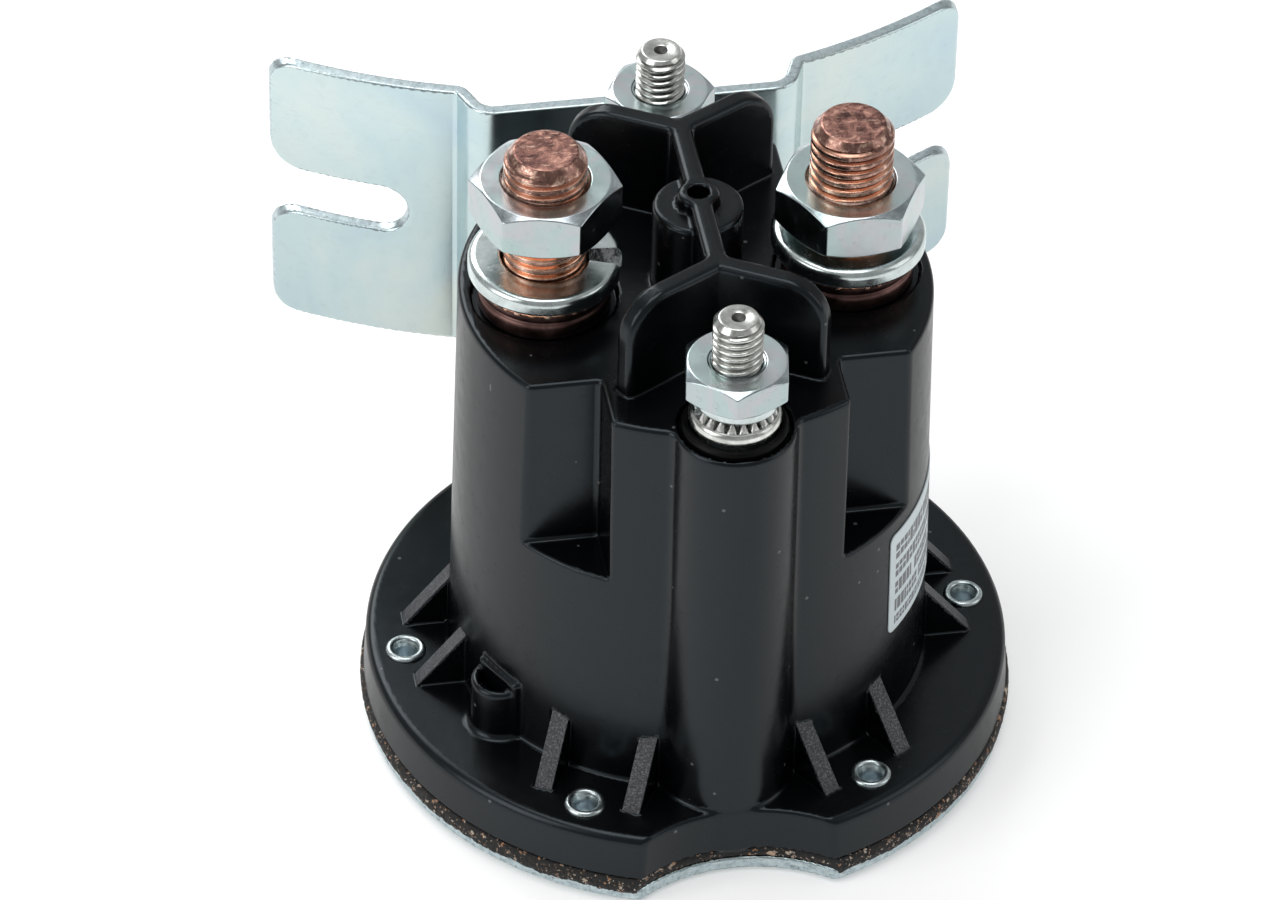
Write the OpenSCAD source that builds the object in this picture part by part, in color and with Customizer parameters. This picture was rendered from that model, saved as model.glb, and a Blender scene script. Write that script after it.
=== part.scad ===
// Sealed four-terminal starter relay (direct-current contactor).
// Frame: +Z up along the coil axis, origin at the centre of the base plate's underside,
// +X towards the right main stud, +Y towards the mounting bracket. Millimetres.

/* [Base and bracket] */
// Radius of the round base plate
plate_r = 32.3; // [32:0.1:33]
// Thickness of the folded steel sheet (base plate and bracket)
sheet_t = 1.4; // [1.2:0.1:1.6]
// Thickness of the cork-rubber gasket
gasket_t = 1.3; // [1:0.1:1.5]
// Outer radius of the gasket, which stands a little proud all round
gasket_r = 32.6; // [32.3:0.1:32.8]
// Front face of the upright's centre panel, from the body axis
upright_y = 34.0; // [33.8:0.1:35]
// Height of the bracket's top edge
bracket_top = 47.3; // [44:0.1:50]
// Lower edge of the two ears
ear_bottom = 15.3; // [12:0.1:18]
// Outer edge of each ear, from the centre plane
ear_x = 35.35; // [34:0.05:38]
// Width of the open bolt slots
slot_w = 5.55; // [5.2:0.05:6]
// Height of the slots' centre line
slot_z = 31.3; // [29:0.1:33]
// Innermost point of each slot, from the centre plane
slot_end_x = 22.25; // [21.5:0.05:24]

/* [Housing] */
// Radius of the moulded flange
flange_r = 32.2; // [32:0.1:33]
// Thickness of the moulded flange
flange_t = 5.0; // [4.5:0.1:5.5]
// Radius of the moulded body where it meets the flange
body_r_foot = 23.7; // [23.5:0.1:23.9]
// Radius of the moulded body at its top face
body_r_top = 22.8; // [22.7:0.1:23]
// Height of the body's top face
body_top = 52.0; // [51.8:0.1:53]
// Height of the barrier walls' top edge
barrier_top = 62.8; // [60:0.1:64]
// Thickness of the barrier walls
barrier_t = 2.1; // [1.8:0.1:2.4]
// Angle of the barrier wings to the X axis
wing_a = 29; // [26:1:32]
// Length of each barrier wing
wing_l = 11.25; // [11:0.05:12]
// Height of the corner pockets' floor
pocket_z = 32.65; // [32.4:0.05:36]
// Number of rivets around the rim (each has a pair of gusset ribs)
rivets = 6; // [6]
// Radius of the rivet circle
rivet_pcd_r = 28.2; // [28:0.1:28.4]

/* [Terminals] */
// Distance of the main studs from the centre plane
main_x = 14.7; // [14.6:0.05:14.8]
// Major radius of the main stud thread (five sixteenths of an inch)
main_r = 3.97; // [3.9:0.01:4]
// Top of the main studs
main_top = 69.4; // [68:0.1:71]
// Underside of the left main nut (run part of the way up its stud)
left_nut_z = 61.3; // [57.2:0.1:61.5]
// Underside of the right main nut
right_nut_z = 58.0; // [57.1:0.1:61.5]
// Distance of the coil studs from the body axis
coil_y = 21.45; // [21.4:0.05:21.5]
// Major radius of the coil stud thread (number ten)
coil_r = 2.41; // [2.35:0.01:2.45]
// Top of the front coil stud
front_top = 64.9; // [64:0.1:66]
// Top of the rear coil stud
rear_top = 63.3; // [62.6:0.1:64]
// Underside of the front coil nut
front_nut_z = 56.6; // [56.5:0.1:57]
// Underside of the rear coil nut
rear_nut_z = 55.4; // [55.4:0.1:57]

/* [Mechanism] */
// Stroke of the plunger
stroke = 2.2; // [2:0.1:2.2]
// Open gap between the bridge and the stud heads
contact_gap = 1.65; // [1.4:0.05:1.65]
// Radius of the plunger
plunger_r = 6.0; // [5.8:0.1:6]

/* [Hidden] */
$fn = 64;

notch_y = -44.2;                       // centre of the front clearance notch
notch_r = 16.5;
gasket_top = sheet_t + gasket_t;       // 2.7
flange_top = gasket_top + flange_t;    // 7.7
slot_r = slot_w / 2;
bend_r = 1.6;                          // inside bend radius of the sheet
ear_r = 64.8;                          // front face of the curved ears
ear_y0 = 35.4;                         // where that arc would cross the centre plane
panel_x = 14.0;                        // half width of the flat centre panel
collar_z = 51.3;                       // floor of the main stud recesses
seat_z = 54.9;                         // top of the main stud collars
coil_seat_z = 54.2;                    // top of the coil stud collars
chamber_r = 20.45;
roof_z = 48.6;                         // underside of the housing's roof
flux_z = 28.2;                         // underside of the flux plate
flux_top = 30.6;
head_z = 44.6;                         // contact faces of the stud heads
bridge_t = 2.2;
bridge_top = head_z - contact_gap;     // 42.95
bridge_z = bridge_top - bridge_t;      // 40.75
pole_z = 3.0 + 15.2 + stroke + 0.05;   // underside of the fixed pole
rod_r = 1.6;

black = [0.13, 0.135, 0.14];
zinc = [0.80, 0.85, 0.87];
copper = [0.72, 0.42, 0.28];

// ---------- shared shapes ----------

// hexagonal nut with chamfered corners and a countersunk plain bore
module hex_nut(af, t, bore, a) {
    rc = af / 2 / cos(30);
    rf = af / 2 * 0.965;
    d = (rc - rf) * tan(30);
    difference() {
        intersection() {
            rotate([0, 0, a]) cylinder(r = rc, h = t, $fn = 6);
            rotate_extrude() polygon([[0, 0], [rf, 0], [rc + 0.02, d], [rc + 0.02, t - d], [rf, t], [0, t]]);
        }
        translate([0, 0, -1]) cylinder(r = bore, h = t + 2);
        translate([0, 0, t - 0.5]) cylinder(r1 = bore, r2 = bore + 0.55, h = 0.55);
        translate([0, 0, -0.05]) cylinder(r1 = bore + 0.55, r2 = bore, h = 0.55);
    }
}

// one open turn of rectangular bar that climbs by `rise`: a spring lock washer.
// It starts at angle a0 and runs anticlockwise; the gap is `gap` degrees wide.
module lock_washer(ri, ro, t, rise, a0, gap) {
    n = 44;
    pts = [for (i = [0:n]) let (f = i / n, a = a0 + gap / 2 + f * (360 - gap), z = (1 - f) * rise)
        each [[ri * cos(a), ri * sin(a), z], [ro * cos(a), ro * sin(a), z],
              [ro * cos(a), ro * sin(a), z + t], [ri * cos(a), ri * sin(a), z + t]]];
    sides = [for (i = [0:n - 1], k = [0:3]) let (p = 4 * i, q = (k + 1) % 4)
        each [[p + k, p + q, p + 4 + k], [p + q, p + 4 + q, p + 4 + k]]];
    ends = [[0, 2, 1], [0, 3, 2], [4 * n, 4 * n + 1, 4 * n + 2], [4 * n, 4 * n + 2, 4 * n + 3]];
    polyhedron(points = pts, faces = [for (f = concat(sides, ends)) [f[0], f[2], f[1]]]);
}

// round wire wound to a compression spring with closed ends
function coil_z(f, turns, h, w) =
    let (e = 0.8 / turns, c = w * 1.08 * 0.8)
    f < e ? c * f / e : f > 1 - e ? h - c * (1 - f) / e : c + (h - 2 * c) * (f - e) / (1 - 2 * e);
module spring(rm, w, z0, z1, turns, per = 16, m = 8) {
    n = round(turns * per);
    h = z1 - z0 - w;
    pts = [for (i = [0:n]) let (f = i / n, a = 360 * turns * f, z = z0 + w / 2 + coil_z(f, turns, h, w))
        for (k = [0:m - 1]) let (b = 360 * (k + 0.5) / m, r = rm + w / 2 * cos(b))
            [r * cos(a), r * sin(a), z + w / 2 * sin(b)]];
    sides = [for (i = [0:n - 1], k = [0:m - 1]) let (p = m * i, q = (k + 1) % m)
        each [[p + k, p + m + k, p + q], [p + q, p + m + k, p + m + q]]];
    cap0 = [for (k = [1:m - 2]) [0, k, k + 1]];
    cap1 = [for (k = [1:m - 2]) [m * n, m * n + k + 1, m * n + k]];
    polyhedron(points = pts, faces = [for (f = concat(sides, cap0, cap1)) [f[0], f[2], f[1]]]);
}

// round wire that follows points in the plane x = 0
module yz_wire(p, r, m = 10) {
    n = len(p) - 1;
    function dir(i) = let (a = p[max(i - 1, 0)], b = p[min(i + 1, n)], d = b - a) d / norm(d);
    pts = [for (i = [0:n]) let (d = dir(i)) for (k = [0:m - 1]) let (b = 360 * (k + 0.5) / m)
        [r * cos(b), p[i][0] + r * sin(b) * d[1], p[i][1] - r * sin(b) * d[0]]];
    sides = [for (i = [0:n - 1], k = [0:m - 1]) let (q = (k + 1) % m)
        each [[m * i + k, m * i + q, m * i + m + k], [m * i + q, m * i + m + q, m * i + m + k]]];
    cap0 = [for (k = [1:m - 2]) [0, k + 1, k]];
    cap1 = [for (k = [1:m - 2]) [m * n, m * n + k, m * n + k + 1]];
    polyhedron(points = pts, faces = [for (f = concat(sides, cap0, cap1)) [f[0], f[2], f[1]]]);
}

module at_rivets() for (k = [0:rivets - 1]) rotate([0, 0, 360 / rivets * k]) translate([rivet_pcd_r, 0, 0]) children();
module both_x() { children(); mirror([1, 0, 0]) children(); }
module both_y() { children(); mirror([0, 1, 0]) children(); }

// ---------- housing ----------

module flange() {
    e = 1.2;
    rt = flange_r - 0.25;
    difference() {
        translate([0, 0, gasket_top]) rotate_extrude($fn = 128) union() {
            polygon([[chamber_r, 0], [flange_r, 0], [rt, flange_t - e], [rt - e, flange_t], [chamber_r, flange_t]]);
            translate([rt - e, flange_t - e]) circle(r = e, $fn = 48);
        }
        translate([0, notch_y, 0]) cylinder(r = notch_r, h = 20, $fn = 96);
    }
}

// gusset ribs: a parallel pair beside each rivet, sloping from the body down to the flange
module ribs() {
    for (k = [0:rivets - 1], s = [-1, 1]) rotate([0, 0, 360 / rivets * k])
        translate([0, s * 4.55 + 0.95, 0]) rotate([90, 0, 0])
            linear_extrude(height = 1.9) polygon([[21.6, flange_top - 0.6], [27.7, flange_top - 0.6],
                [27.7, flange_top + 0.2], [23.3, flange_top + 5.7], [21.6, flange_top + 7.83]]);
}

// a barrier wing standing on the top face, with its outer top corner rounded
module wing() {
    h = barrier_top - body_top + 0.5;
    c = 4.5;
    rotate([90, 0, 0]) translate([0, 0, -barrier_t / 2]) linear_extrude(height = barrier_t) union() {
        square([wing_l - c, h]);
        square([wing_l, h - c]);
        translate([wing_l - c, h - c]) circle(r = c);
    }
}

module barrier() {
    j = 10.3;
    h = barrier_top - body_top + 0.5;
    translate([-barrier_t / 2, -j, body_top - 0.5]) cube([barrier_t, 2 * j, h]);
    for (a = [-wing_a, 180 + wing_a]) translate([0, -j, body_top - 0.5]) rotate([0, 0, a]) wing();
    for (a = [wing_a, 180 - wing_a]) translate([0, j, body_top - 0.5]) rotate([0, 0, a]) wing();
    translate([0, 0, body_top - 0.5]) cylinder(r = 2.05, h = h);
    translate([0, 0, body_top - 0.5]) cylinder(r = 4.35, h = h - 1.5);
}

// D-shaped moulded turret against the body's left side: a shallow cup in its top, and a lip
// along the body that stands a little higher than the rim
module turret() difference() {
    union() {
        translate([-20.5, -11.35, flange_top - 0.4]) cylinder(r = 2.85, h = 6.2);
        translate([-20.5, -11.35, flange_top - 0.4]) cylinder(r1 = 3.6, r2 = 2.85, h = 0.8);
        intersection() {
            translate([0, 0, flange_top - 0.4]) cylinder(r = body_r_foot + 0.5, h = 7.3, $fn = 128);
            translate([-20.35, -11.55, flange_top - 0.4]) cylinder(r = 2.95, h = 7.3);
        }
    }
    difference() {
        translate([-20.5, -11.35, flange_top + 4.2]) cylinder(r = 2.2, h = 4);
        cylinder(r = body_r_foot + 0.5, h = 40, $fn = 128);
    }
}

module housing() {
    color(black) difference() {
        union() {
            flange();
            translate([0, 0, flange_top - 0.5]) cylinder(r1 = body_r_foot, r2 = body_r_top, h = body_top - flange_top + 0.5, $fn = 128);
            both_y() translate([0, -coil_y, flange_top - 0.5]) cylinder(r1 = 6.3, r2 = 5.9, h = body_top - flange_top + 0.5);
            barrier();
            ribs();
            turret();
        }
        // four corner pockets, open outwards and to the top
        both_x() both_y() translate([11.4, -26, pocket_z]) cube([12, 12.4, 30]);
        // coil chamber and contact chamber
        translate([0, 0, -1]) cylinder(r = chamber_r, h = flux_top + 1, $fn = 128);
        intersection() {
            cylinder(r = chamber_r, h = roof_z, $fn = 128);
            translate([-30, -11.5, 20]) cube([60, 23, 60]);
        }
        // coring of the thick corners beside the coil stud bosses
        both_x() both_y() intersection() {
            cylinder(r = chamber_r, h = roof_z, $fn = 128);
            translate([5.3, -18.6, 20]) cube([4.3, 5.1, 60]);
        }
        // coil stud bosses are hollow up to the stud head
        both_y() translate([0, -coil_y, 0]) {
            translate([0, 0, -1]) cylinder(r = 3.8, h = 45);
            translate([0, 0, 40]) cylinder(r = coil_r + 0.03, h = 20);
            translate([0, 0, 51.4]) cylinder(r = 5.35, h = 1);
        }
        // main stud holes and the shallow recesses around them
        both_x() translate([main_x, 0, 0]) {
            translate([0, 0, 45]) cylinder(r = main_r + 0.03, h = 10);
            translate([0, 0, collar_z]) cylinder(r = 7.0, h = 5);
        }
        // spring pocket in the centre boss, and the blind hole in the hub
        translate([0, 0, 40]) cylinder(r = 2.9, h = 18);
        translate([0, 0, barrier_top - 2.6]) cylinder(r = 1.03, h = 5);
        // rivet holes
        at_rivets() cylinder(r = 1.75, h = 20, $fn = 32);
    }
}

// ---------- base ----------

function arc_pts(c, r, a0, a1, n) = [for (i = [0:n]) c + r * [cos(a0 + (a1 - a0) * i / n), sin(a0 + (a1 - a0) * i / n)]];
function rev(p) = [for (i = [len(p) - 1:-1:0]) p[i]];

// plan of the upright: flat centre panel, joggles and curved ears (right half)
module upright_plan() {
    cy = ear_y0 + ear_r;
    a = 52;                                                 // slope of the joggle's web
    r = 1.5;                                                // inside radius of its bends
    m = r + sheet_t / 2;
    n = [sin(a), -cos(a)];
    c1 = [panel_x, upright_y + sheet_t + r];                // centre of the first bend
    q = c1 + 2 * m * n - [0, cy];
    d = [cos(a), sin(a)];
    s = -(q * d) - sqrt((q * d) * (q * d) - q * q + (ear_r - sheet_t / 2 + m) * (ear_r - sheet_t / 2 + m));
    c2 = c1 + 2 * m * n + s * d;                            // centre of the second bend
    ae = atan2(cy - c2[1], -c2[0]);                         // its far end, tangent to the ear
    a2 = asin((ear_x + 1) / ear_r) - 90;
    front = concat([[-0.01, upright_y]], arc_pts(c1, r + sheet_t, -90, a - 90, 8), arc_pts(c2, r, 90 + a, ae, 6),
        arc_pts([0, cy], ear_r, ae - 179.2, a2, 26));
    back = concat([[-0.01, upright_y + sheet_t]], arc_pts(c1, r, -90, a - 90, 8), arc_pts(c2, r + sheet_t, 90 + a, ae, 6),
        arc_pts([0, cy], ear_r - sheet_t, ae - 179.2, a2, 26));
    polygon(concat(front, rev(back)));
}

// front outline of one ear: rounded corners and the open slot with a flared mouth
module ear_outline() {
    rt = 2.6;
    rb = 2.2;
    rm = 2.9;
    w = ear_x;
    zt = slot_z + slot_r;
    zb = slot_z - slot_r;
    difference() {
        union() {
            translate([0, ear_bottom]) square([w - rt, bracket_top - ear_bottom]);
            translate([w - rt - 1, zt + rm]) square([rt + 1, bracket_top - rt - zt - rm]);
            translate([w - rt - 1, ear_bottom + rb]) square([rt + 1, zb - rm - ear_bottom - rb]);
            translate([w - rt, bracket_top - rt]) circle(r = rt);
            translate([w - rb, ear_bottom + rb]) circle(r = rb);
            translate([w - rm, zt + rm]) circle(r = rm);
            translate([w - rm, zb - rm]) circle(r = rm);
        }
        translate([slot_end_x + slot_r, slot_z]) circle(r = slot_r);
        translate([slot_end_x + slot_r, zb]) square([30, slot_w]);
    }
}

module mounting_bracket() {
    neck = panel_x;
    color(zinc) {
        // round base plate with the tab that runs into the bend
        difference() {
            union() {
                cylinder(r = plate_r, h = sheet_t, $fn = 128);
                translate([-neck, 20, 0]) cube([2 * neck, upright_y - bend_r - 20, sheet_t]);
                // the bend
                intersection() {
                    translate([-neck, upright_y - bend_r, sheet_t + bend_r]) rotate([0, 90, 0]) difference() {
                        cylinder(r = bend_r + sheet_t, h = 2 * neck);
                        translate([0, 0, -1]) cylinder(r = bend_r, h = 2 * neck + 2);
                    }
                    translate([-neck, upright_y - bend_r, 0]) cube([2 * neck, 9, sheet_t + bend_r]);
                }
                // neck between the bend and the ears
                translate([-neck, upright_y, sheet_t + bend_r]) cube([2 * neck, sheet_t, ear_bottom + 3 - sheet_t - bend_r]);
                // upright: the folded plan cut to the ears' front outline
                both_x() intersection() {
                    translate([0, 0, ear_bottom]) linear_extrude(height = bracket_top - ear_bottom) upright_plan();
                    translate([0, 60, 0]) rotate([90, 0, 0]) linear_extrude(height = 40) ear_outline();
                }
            }
            translate([0, notch_y, -1]) cylinder(r = notch_r, h = 20, $fn = 96);
            at_rivets() {
                translate([0, 0, -1]) cylinder(r = 1.75, h = 5, $fn = 32);
                translate([0, 0, -1]) cylinder(r = 2.35, h = 1.45, $fn = 32);
            }
        }
    }
}

module base_gasket() color([0.2, 0.16, 0.12]) difference() {
    translate([0, 0, sheet_t]) cylinder(r = gasket_r, h = gasket_t, $fn = 128);
    cylinder(r = 20.6, h = 9, $fn = 128);
    translate([0, notch_y, -1]) cylinder(r = notch_r, h = 20, $fn = 96);
    at_rivets() cylinder(r = 1.8, h = 9, $fn = 32);
}

// semi-tubular rivets: flush heads below, rolled rims on the flange
module rim_rivets() color([0.75, 0.8, 0.82]) at_rivets() difference() {
    union() {
        cylinder(r = 2.3, h = 0.42, $fn = 32);
        cylinder(r = 1.7, h = flange_top, $fn = 32);
        translate([0, 0, flange_top]) rotate_extrude($fn = 48) difference() {
            union() { translate([1.62, 0]) circle(r = 0.42, $fn = 32); square([1.62, 0.42]); }
            translate([-1, -2]) square([5, 2]);
        }
    }
    translate([0, 0, flange_top - 2]) cylinder(r = 1.28, h = 4, $fn = 32);
    translate([0, 0, flange_top - 2.8]) cylinder(r = 1.0, h = 4, $fn = 32);
}

// wrap-around paper label on the right side of the body
module rating_label() {
    z0 = 18.35;
    z1 = 30.75;
    k = (body_r_foot - body_r_top) / (body_top - flange_top + 0.5);
    r0 = body_r_foot - k * (z0 - flange_top + 0.5);
    r1 = body_r_foot - k * (z1 - flange_top + 0.5);
    color([0.93, 0.94, 0.95]) intersection() {
        difference() {
            translate([0, 0, z0]) cylinder(r1 = r0 + 0.14, r2 = r1 + 0.14, h = z1 - z0, $fn = 128);
            translate([0, 0, z0 - 1]) cylinder(r1 = r0 + k + 0.02, r2 = r1 - k + 0.02, h = z1 - z0 + 2, $fn = 128);
        }
        linear_extrude(height = 60) polygon([[0, 0], [60 * cos(44), -60 * sin(44)], [60, -60], [60, 60], [60 * cos(44), 60 * sin(44)]]);
    }
}

// ---------- terminals ----------

// rod at the thread's major radius; where its nut is screwed on, both meet at the pitch radius
module threaded_rod(r, e, z0, z1, nut_z, nut_t) {
    translate([0, 0, z0]) cylinder(r = r, h = nut_z - 0.1 - z0);
    translate([0, 0, nut_z - 0.2]) cylinder(r = r - e, h = nut_t + 0.4);
    translate([0, 0, nut_z + nut_t + 0.1]) cylinder(r = r, h = z1 - nut_z - nut_t - 0.1);
}

// copper stud cast into the roof: contact head inside, two-step collar outside
module main_stud(x, nut_z) color(copper) translate([x, 0, 0]) {
    translate([0, 0, head_z]) cylinder(r = 5.6, h = roof_z - head_z);
    threaded_rod(main_r, 0.32, head_z + 1, main_top - 1, nut_z, 4.76);
    translate([0, 0, main_top - 1]) cylinder(r1 = main_r, r2 = 3.15, h = 1);
    translate([0, 0, collar_z]) cylinder(r = 6.5, h = 0.9);
    translate([0, 0, collar_z + 0.5]) cylinder(r = 6.2, h = seat_z - collar_z - 0.5);
}
module main_stud_left() main_stud(-main_x, left_nut_z);
module main_stud_right() main_stud(main_x, right_nut_z);

module main_lock_washer_left() color(zinc) translate([-main_x, 0, seat_z]) lock_washer(4.25, 7.35, 1.85, 0.45, -15, 16);
module main_lock_washer_right() color(zinc) translate([main_x, 0, seat_z]) lock_washer(4.25, 7.45, 1.95, 0.22, 100, 4);

module main_nut_left() color(zinc) translate([-main_x, 0, left_nut_z]) hex_nut(12.7, 4.76, main_r - 0.29, -11.7);
module main_nut_right() color(zinc) translate([main_x, 0, right_nut_z]) hex_nut(12.7, 4.76, main_r - 0.29, 0.8);

// plated coil stud: head inside the boss, cone-topped collar outside, centre-drilled end
module coil_stud(y, top, nut_z) color([0.78, 0.8, 0.82]) translate([0, y, 0]) difference() {
    union() {
        translate([0, 0, 41.4]) cylinder(r = 3.4, h = 2.6);
        threaded_rod(coil_r, 0.22, 42, top - 0.7, nut_z, 3.15);
        translate([0, 0, top - 0.7]) cylinder(r1 = coil_r, r2 = 1.7, h = 0.7);
        translate([0, 0, 51.4]) cylinder(r = 4.4, h = 2.5);
        translate([0, 0, 53.9]) cylinder(r1 = 4.4, r2 = 3.9, h = coil_seat_z - 53.9);
    }
    translate([0, 0, top - 0.6]) cylinder(r1 = 0.1, r2 = 0.75, h = 0.65, $fn = 24);
}
module coil_stud_front() coil_stud(-coil_y, front_top, front_nut_z);
module coil_stud_rear() coil_stud(coil_y, rear_top, rear_nut_z);

module coil_stud_seals() color([0.08, 0.08, 0.08]) both_y() translate([0, -coil_y, 51.4]) difference() {
    union() {
        cylinder(r = 5.1, h = 0.8);
        translate([0, 0, 0.8]) cylinder(r1 = 5.1, r2 = 4.8, h = 0.3);
    }
    translate([0, 0, -1]) cylinder(r = 4.43, h = 5);
}

module coil_lock_washer_front() color(zinc) translate([0, -coil_y, coil_seat_z]) lock_washer(2.6, 4.15, 1.2, 1.15, -165, 6);
module coil_lock_washer_rear() color(zinc) translate([0, coil_y, coil_seat_z]) lock_washer(2.6, 4.2, 1.15, 0.03, 110, 6);

module coil_nut_front() color(zinc) translate([0, -coil_y, front_nut_z]) hex_nut(9.525, 3.15, coil_r - 0.19, 80.4);
module coil_nut_rear() color(zinc) translate([0, coil_y, rear_nut_z]) hex_nut(9.525, 3.15, coil_r - 0.19, 0);

// ---------- coil and magnet frame ----------

module coil_bobbin() color([0.85, 0.83, 0.75]) difference() {
    union() {
        translate([0, 0, 3]) cylinder(r = 7.3, h = flux_z - 3);
        translate([0, 0, 3]) cylinder(r = 18.4, h = 1.2);
        translate([0, 0, flux_z - 1.2]) cylinder(r = 18.4, h = 1.2);
    }
    translate([0, 0, 0]) cylinder(r = plunger_r + 0.08, h = 40);
    both_y() translate([-1.2, -20, 20]) cube([2.4, 3.2, 20]);
}
module coil_winding() color([0.7, 0.3, 0.15]) translate([0, 0, 4.2]) difference() {
    cylinder(r = 16.6, h = flux_z - 1.2 - 4.2);
    translate([0, 0, -1]) cylinder(r = 7.33, h = 40);
}
module coil_tape() color([0.9, 0.75, 0.3]) translate([0, 0, 4.25]) difference() {
    cylinder(r = 16.9, h = flux_z - 1.2 - 4.3);
    translate([0, 0, -1]) cylinder(r = 16.63, h = 40);
}
module coil_lead(s) color([0.75, 0.35, 0.2]) scale_y(s)
    yz_wire([[-17.4, 21], [-17.4, 24], [-17.4, 26.5], [-17.8, 28.2], [-18.7, 30.4], [-19.4, 34], [-19.9, 38], [-20.2, 41.36]], 0.45);
module scale_y(s) { if (s > 0) children(); else mirror([0, 1, 0]) children(); }
module coil_lead_front() coil_lead(1);
module coil_lead_rear() coil_lead(-1);

module yoke_cup() color([0.6, 0.62, 0.64]) translate([0, 0, sheet_t]) difference() {
    cylinder(r = 20.3, h = flux_z - sheet_t);
    translate([0, 0, 1.6]) cylinder(r = 18.7, h = 40);
}
module flux_plate() color([0.6, 0.62, 0.64]) difference() {
    translate([0, 0, flux_z]) cylinder(r = 20.3, h = flux_top - flux_z);
    cylinder(r = 4.03, h = 60);
    both_y() translate([-2.5, -24, 20]) cube([5, 7.2, 20]);
}
module pole_core() color([0.65, 0.66, 0.68]) difference() {
    union() {
        translate([0, 0, pole_z]) cylinder(r = plunger_r, h = flux_z - pole_z);
        translate([0, 0, flux_z - 0.5]) cylinder(r = 4.0, h = flux_top - flux_z + 0.5);
    }
    cylinder(r = rod_r + 0.25, h = 60);
}

// ---------- moving parts ----------

module plunger() color([0.62, 0.63, 0.65]) difference() {
    translate([0, 0, 3]) cylinder(r = plunger_r, h = 15.2);
    translate([0, 0, 10]) cylinder(r = rod_r + 0.02, h = 20);
}
module push_rod() color([0.75, 0.76, 0.78]) difference() {
    translate([0, 0, 10]) cylinder(r = rod_r, h = 40);
    for (z = [33.6, bridge_top + 1]) translate([0, 0, z]) difference() {
        cylinder(r = 3, h = 0.6);
        translate([0, 0, -1]) cylinder(r = 1.25, h = 4);
    }
}
// spring clips pressed into the rod's two grooves
module e_clip(z, r) color([0.35, 0.35, 0.37]) translate([0, 0, z]) difference() {
    cylinder(r = r, h = 0.6);
    translate([0, 0, -1]) cylinder(r = 1.3, h = 4);
    translate([0, -1.1, -1]) cube([9, 2.2, 4]);
}
module spring_seat() e_clip(33.6, 3.4);
module rod_clip() e_clip(bridge_top + 1, 3.2);
module return_spring_seat() color([0.85, 0.83, 0.75]) translate([0, 0, bridge_top + 1.6]) difference() {
    cylinder(r = 3.2, h = 0.8);
    translate([0, 0, -1]) cylinder(r = rod_r + 0.03, h = 4);
}
module overtravel_spring() color([0.8, 0.8, 0.82]) spring(2.45, 0.7, 34.2, bridge_z - 1, 4);

module contact_bridge() color(copper) difference() {
    intersection() {
        translate([0, 0, bridge_z]) cylinder(r = 18.8, h = bridge_t);
        translate([-30, -7, 0]) cube([60, 14, 60]);
    }
    cylinder(r = 2.95, h = 60);
}
module bridge_bush() color([0.3, 0.2, 0.12]) difference() {
    union() {
        translate([0, 0, bridge_z]) cylinder(r = 2.9, h = bridge_t + 0.5);
        translate([0, 0, bridge_top]) cylinder(r = 4.2, h = 1);
    }
    cylinder(r = rod_r + 0.06, h = 60);
}
module bridge_insulator() color([0.3, 0.2, 0.12]) translate([0, 0, bridge_z - 1]) difference() {
    cylinder(r = 4.2, h = 1);
    translate([0, 0, -1]) cylinder(r = rod_r + 0.06, h = 4);
}
module return_spring() color([0.8, 0.8, 0.82]) spring(2.4, 0.6, bridge_top + 2.4, 58, 7);

housing();
mounting_bracket();
base_gasket();
rim_rivets();
rating_label();
main_stud_left();
main_stud_right();
main_lock_washer_left();
main_lock_washer_right();
main_nut_left();
main_nut_right();
coil_stud_front();
coil_stud_rear();
coil_stud_seals();
coil_lock_washer_front();
coil_lock_washer_rear();
coil_nut_front();
coil_nut_rear();
coil_bobbin();
coil_winding();
coil_tape();
coil_lead_front();
coil_lead_rear();
yoke_cup();
flux_plate();
pole_core();
plunger();
push_rod();
spring_seat();
rod_clip();
return_spring_seat();
overtravel_spring();
contact_bridge();
bridge_bush();
bridge_insulator();
return_spring();
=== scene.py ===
import bpy, bmesh, math
import numpy as np
from mathutils import Vector, Matrix, noise


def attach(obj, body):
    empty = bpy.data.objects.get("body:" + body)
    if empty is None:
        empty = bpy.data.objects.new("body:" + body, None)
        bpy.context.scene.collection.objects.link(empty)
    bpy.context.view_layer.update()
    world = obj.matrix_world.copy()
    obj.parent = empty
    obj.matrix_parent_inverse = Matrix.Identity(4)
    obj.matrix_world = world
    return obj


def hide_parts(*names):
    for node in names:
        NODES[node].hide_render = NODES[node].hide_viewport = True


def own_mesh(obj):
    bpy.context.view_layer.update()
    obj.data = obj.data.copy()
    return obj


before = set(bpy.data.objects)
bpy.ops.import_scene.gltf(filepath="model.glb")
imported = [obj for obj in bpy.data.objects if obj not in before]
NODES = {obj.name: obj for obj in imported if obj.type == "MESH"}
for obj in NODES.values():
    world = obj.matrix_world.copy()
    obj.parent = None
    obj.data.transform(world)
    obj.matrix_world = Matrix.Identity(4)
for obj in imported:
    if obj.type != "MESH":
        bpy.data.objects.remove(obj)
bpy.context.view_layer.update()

MM = 0.001

# sizes shared with the construction, in millimetres
MAIN_X, COIL_Y = 14.7, 21.45
SEAT, COIL_SEAT = 54.9, 54.2
L_NUT, R_NUT, F_NUT, B_NUT = 61.3, 58.0, 56.6, 55.4
MAIN_TOP, F_TOP, B_TOP = 69.4, 64.9, 63.3
SHEET, GASKET_TOP, FLANGE_TOP = 1.4, 2.7, 7.7
BODY_FOOT, BODY_TOP_R, BODY_TOP = 23.7, 22.8, 52.0
RIVET_R = 28.2
NOTCH_Y, NOTCH_R = -44.2, 16.5


# ------------------------------------------------------------------ mesh helpers

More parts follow.
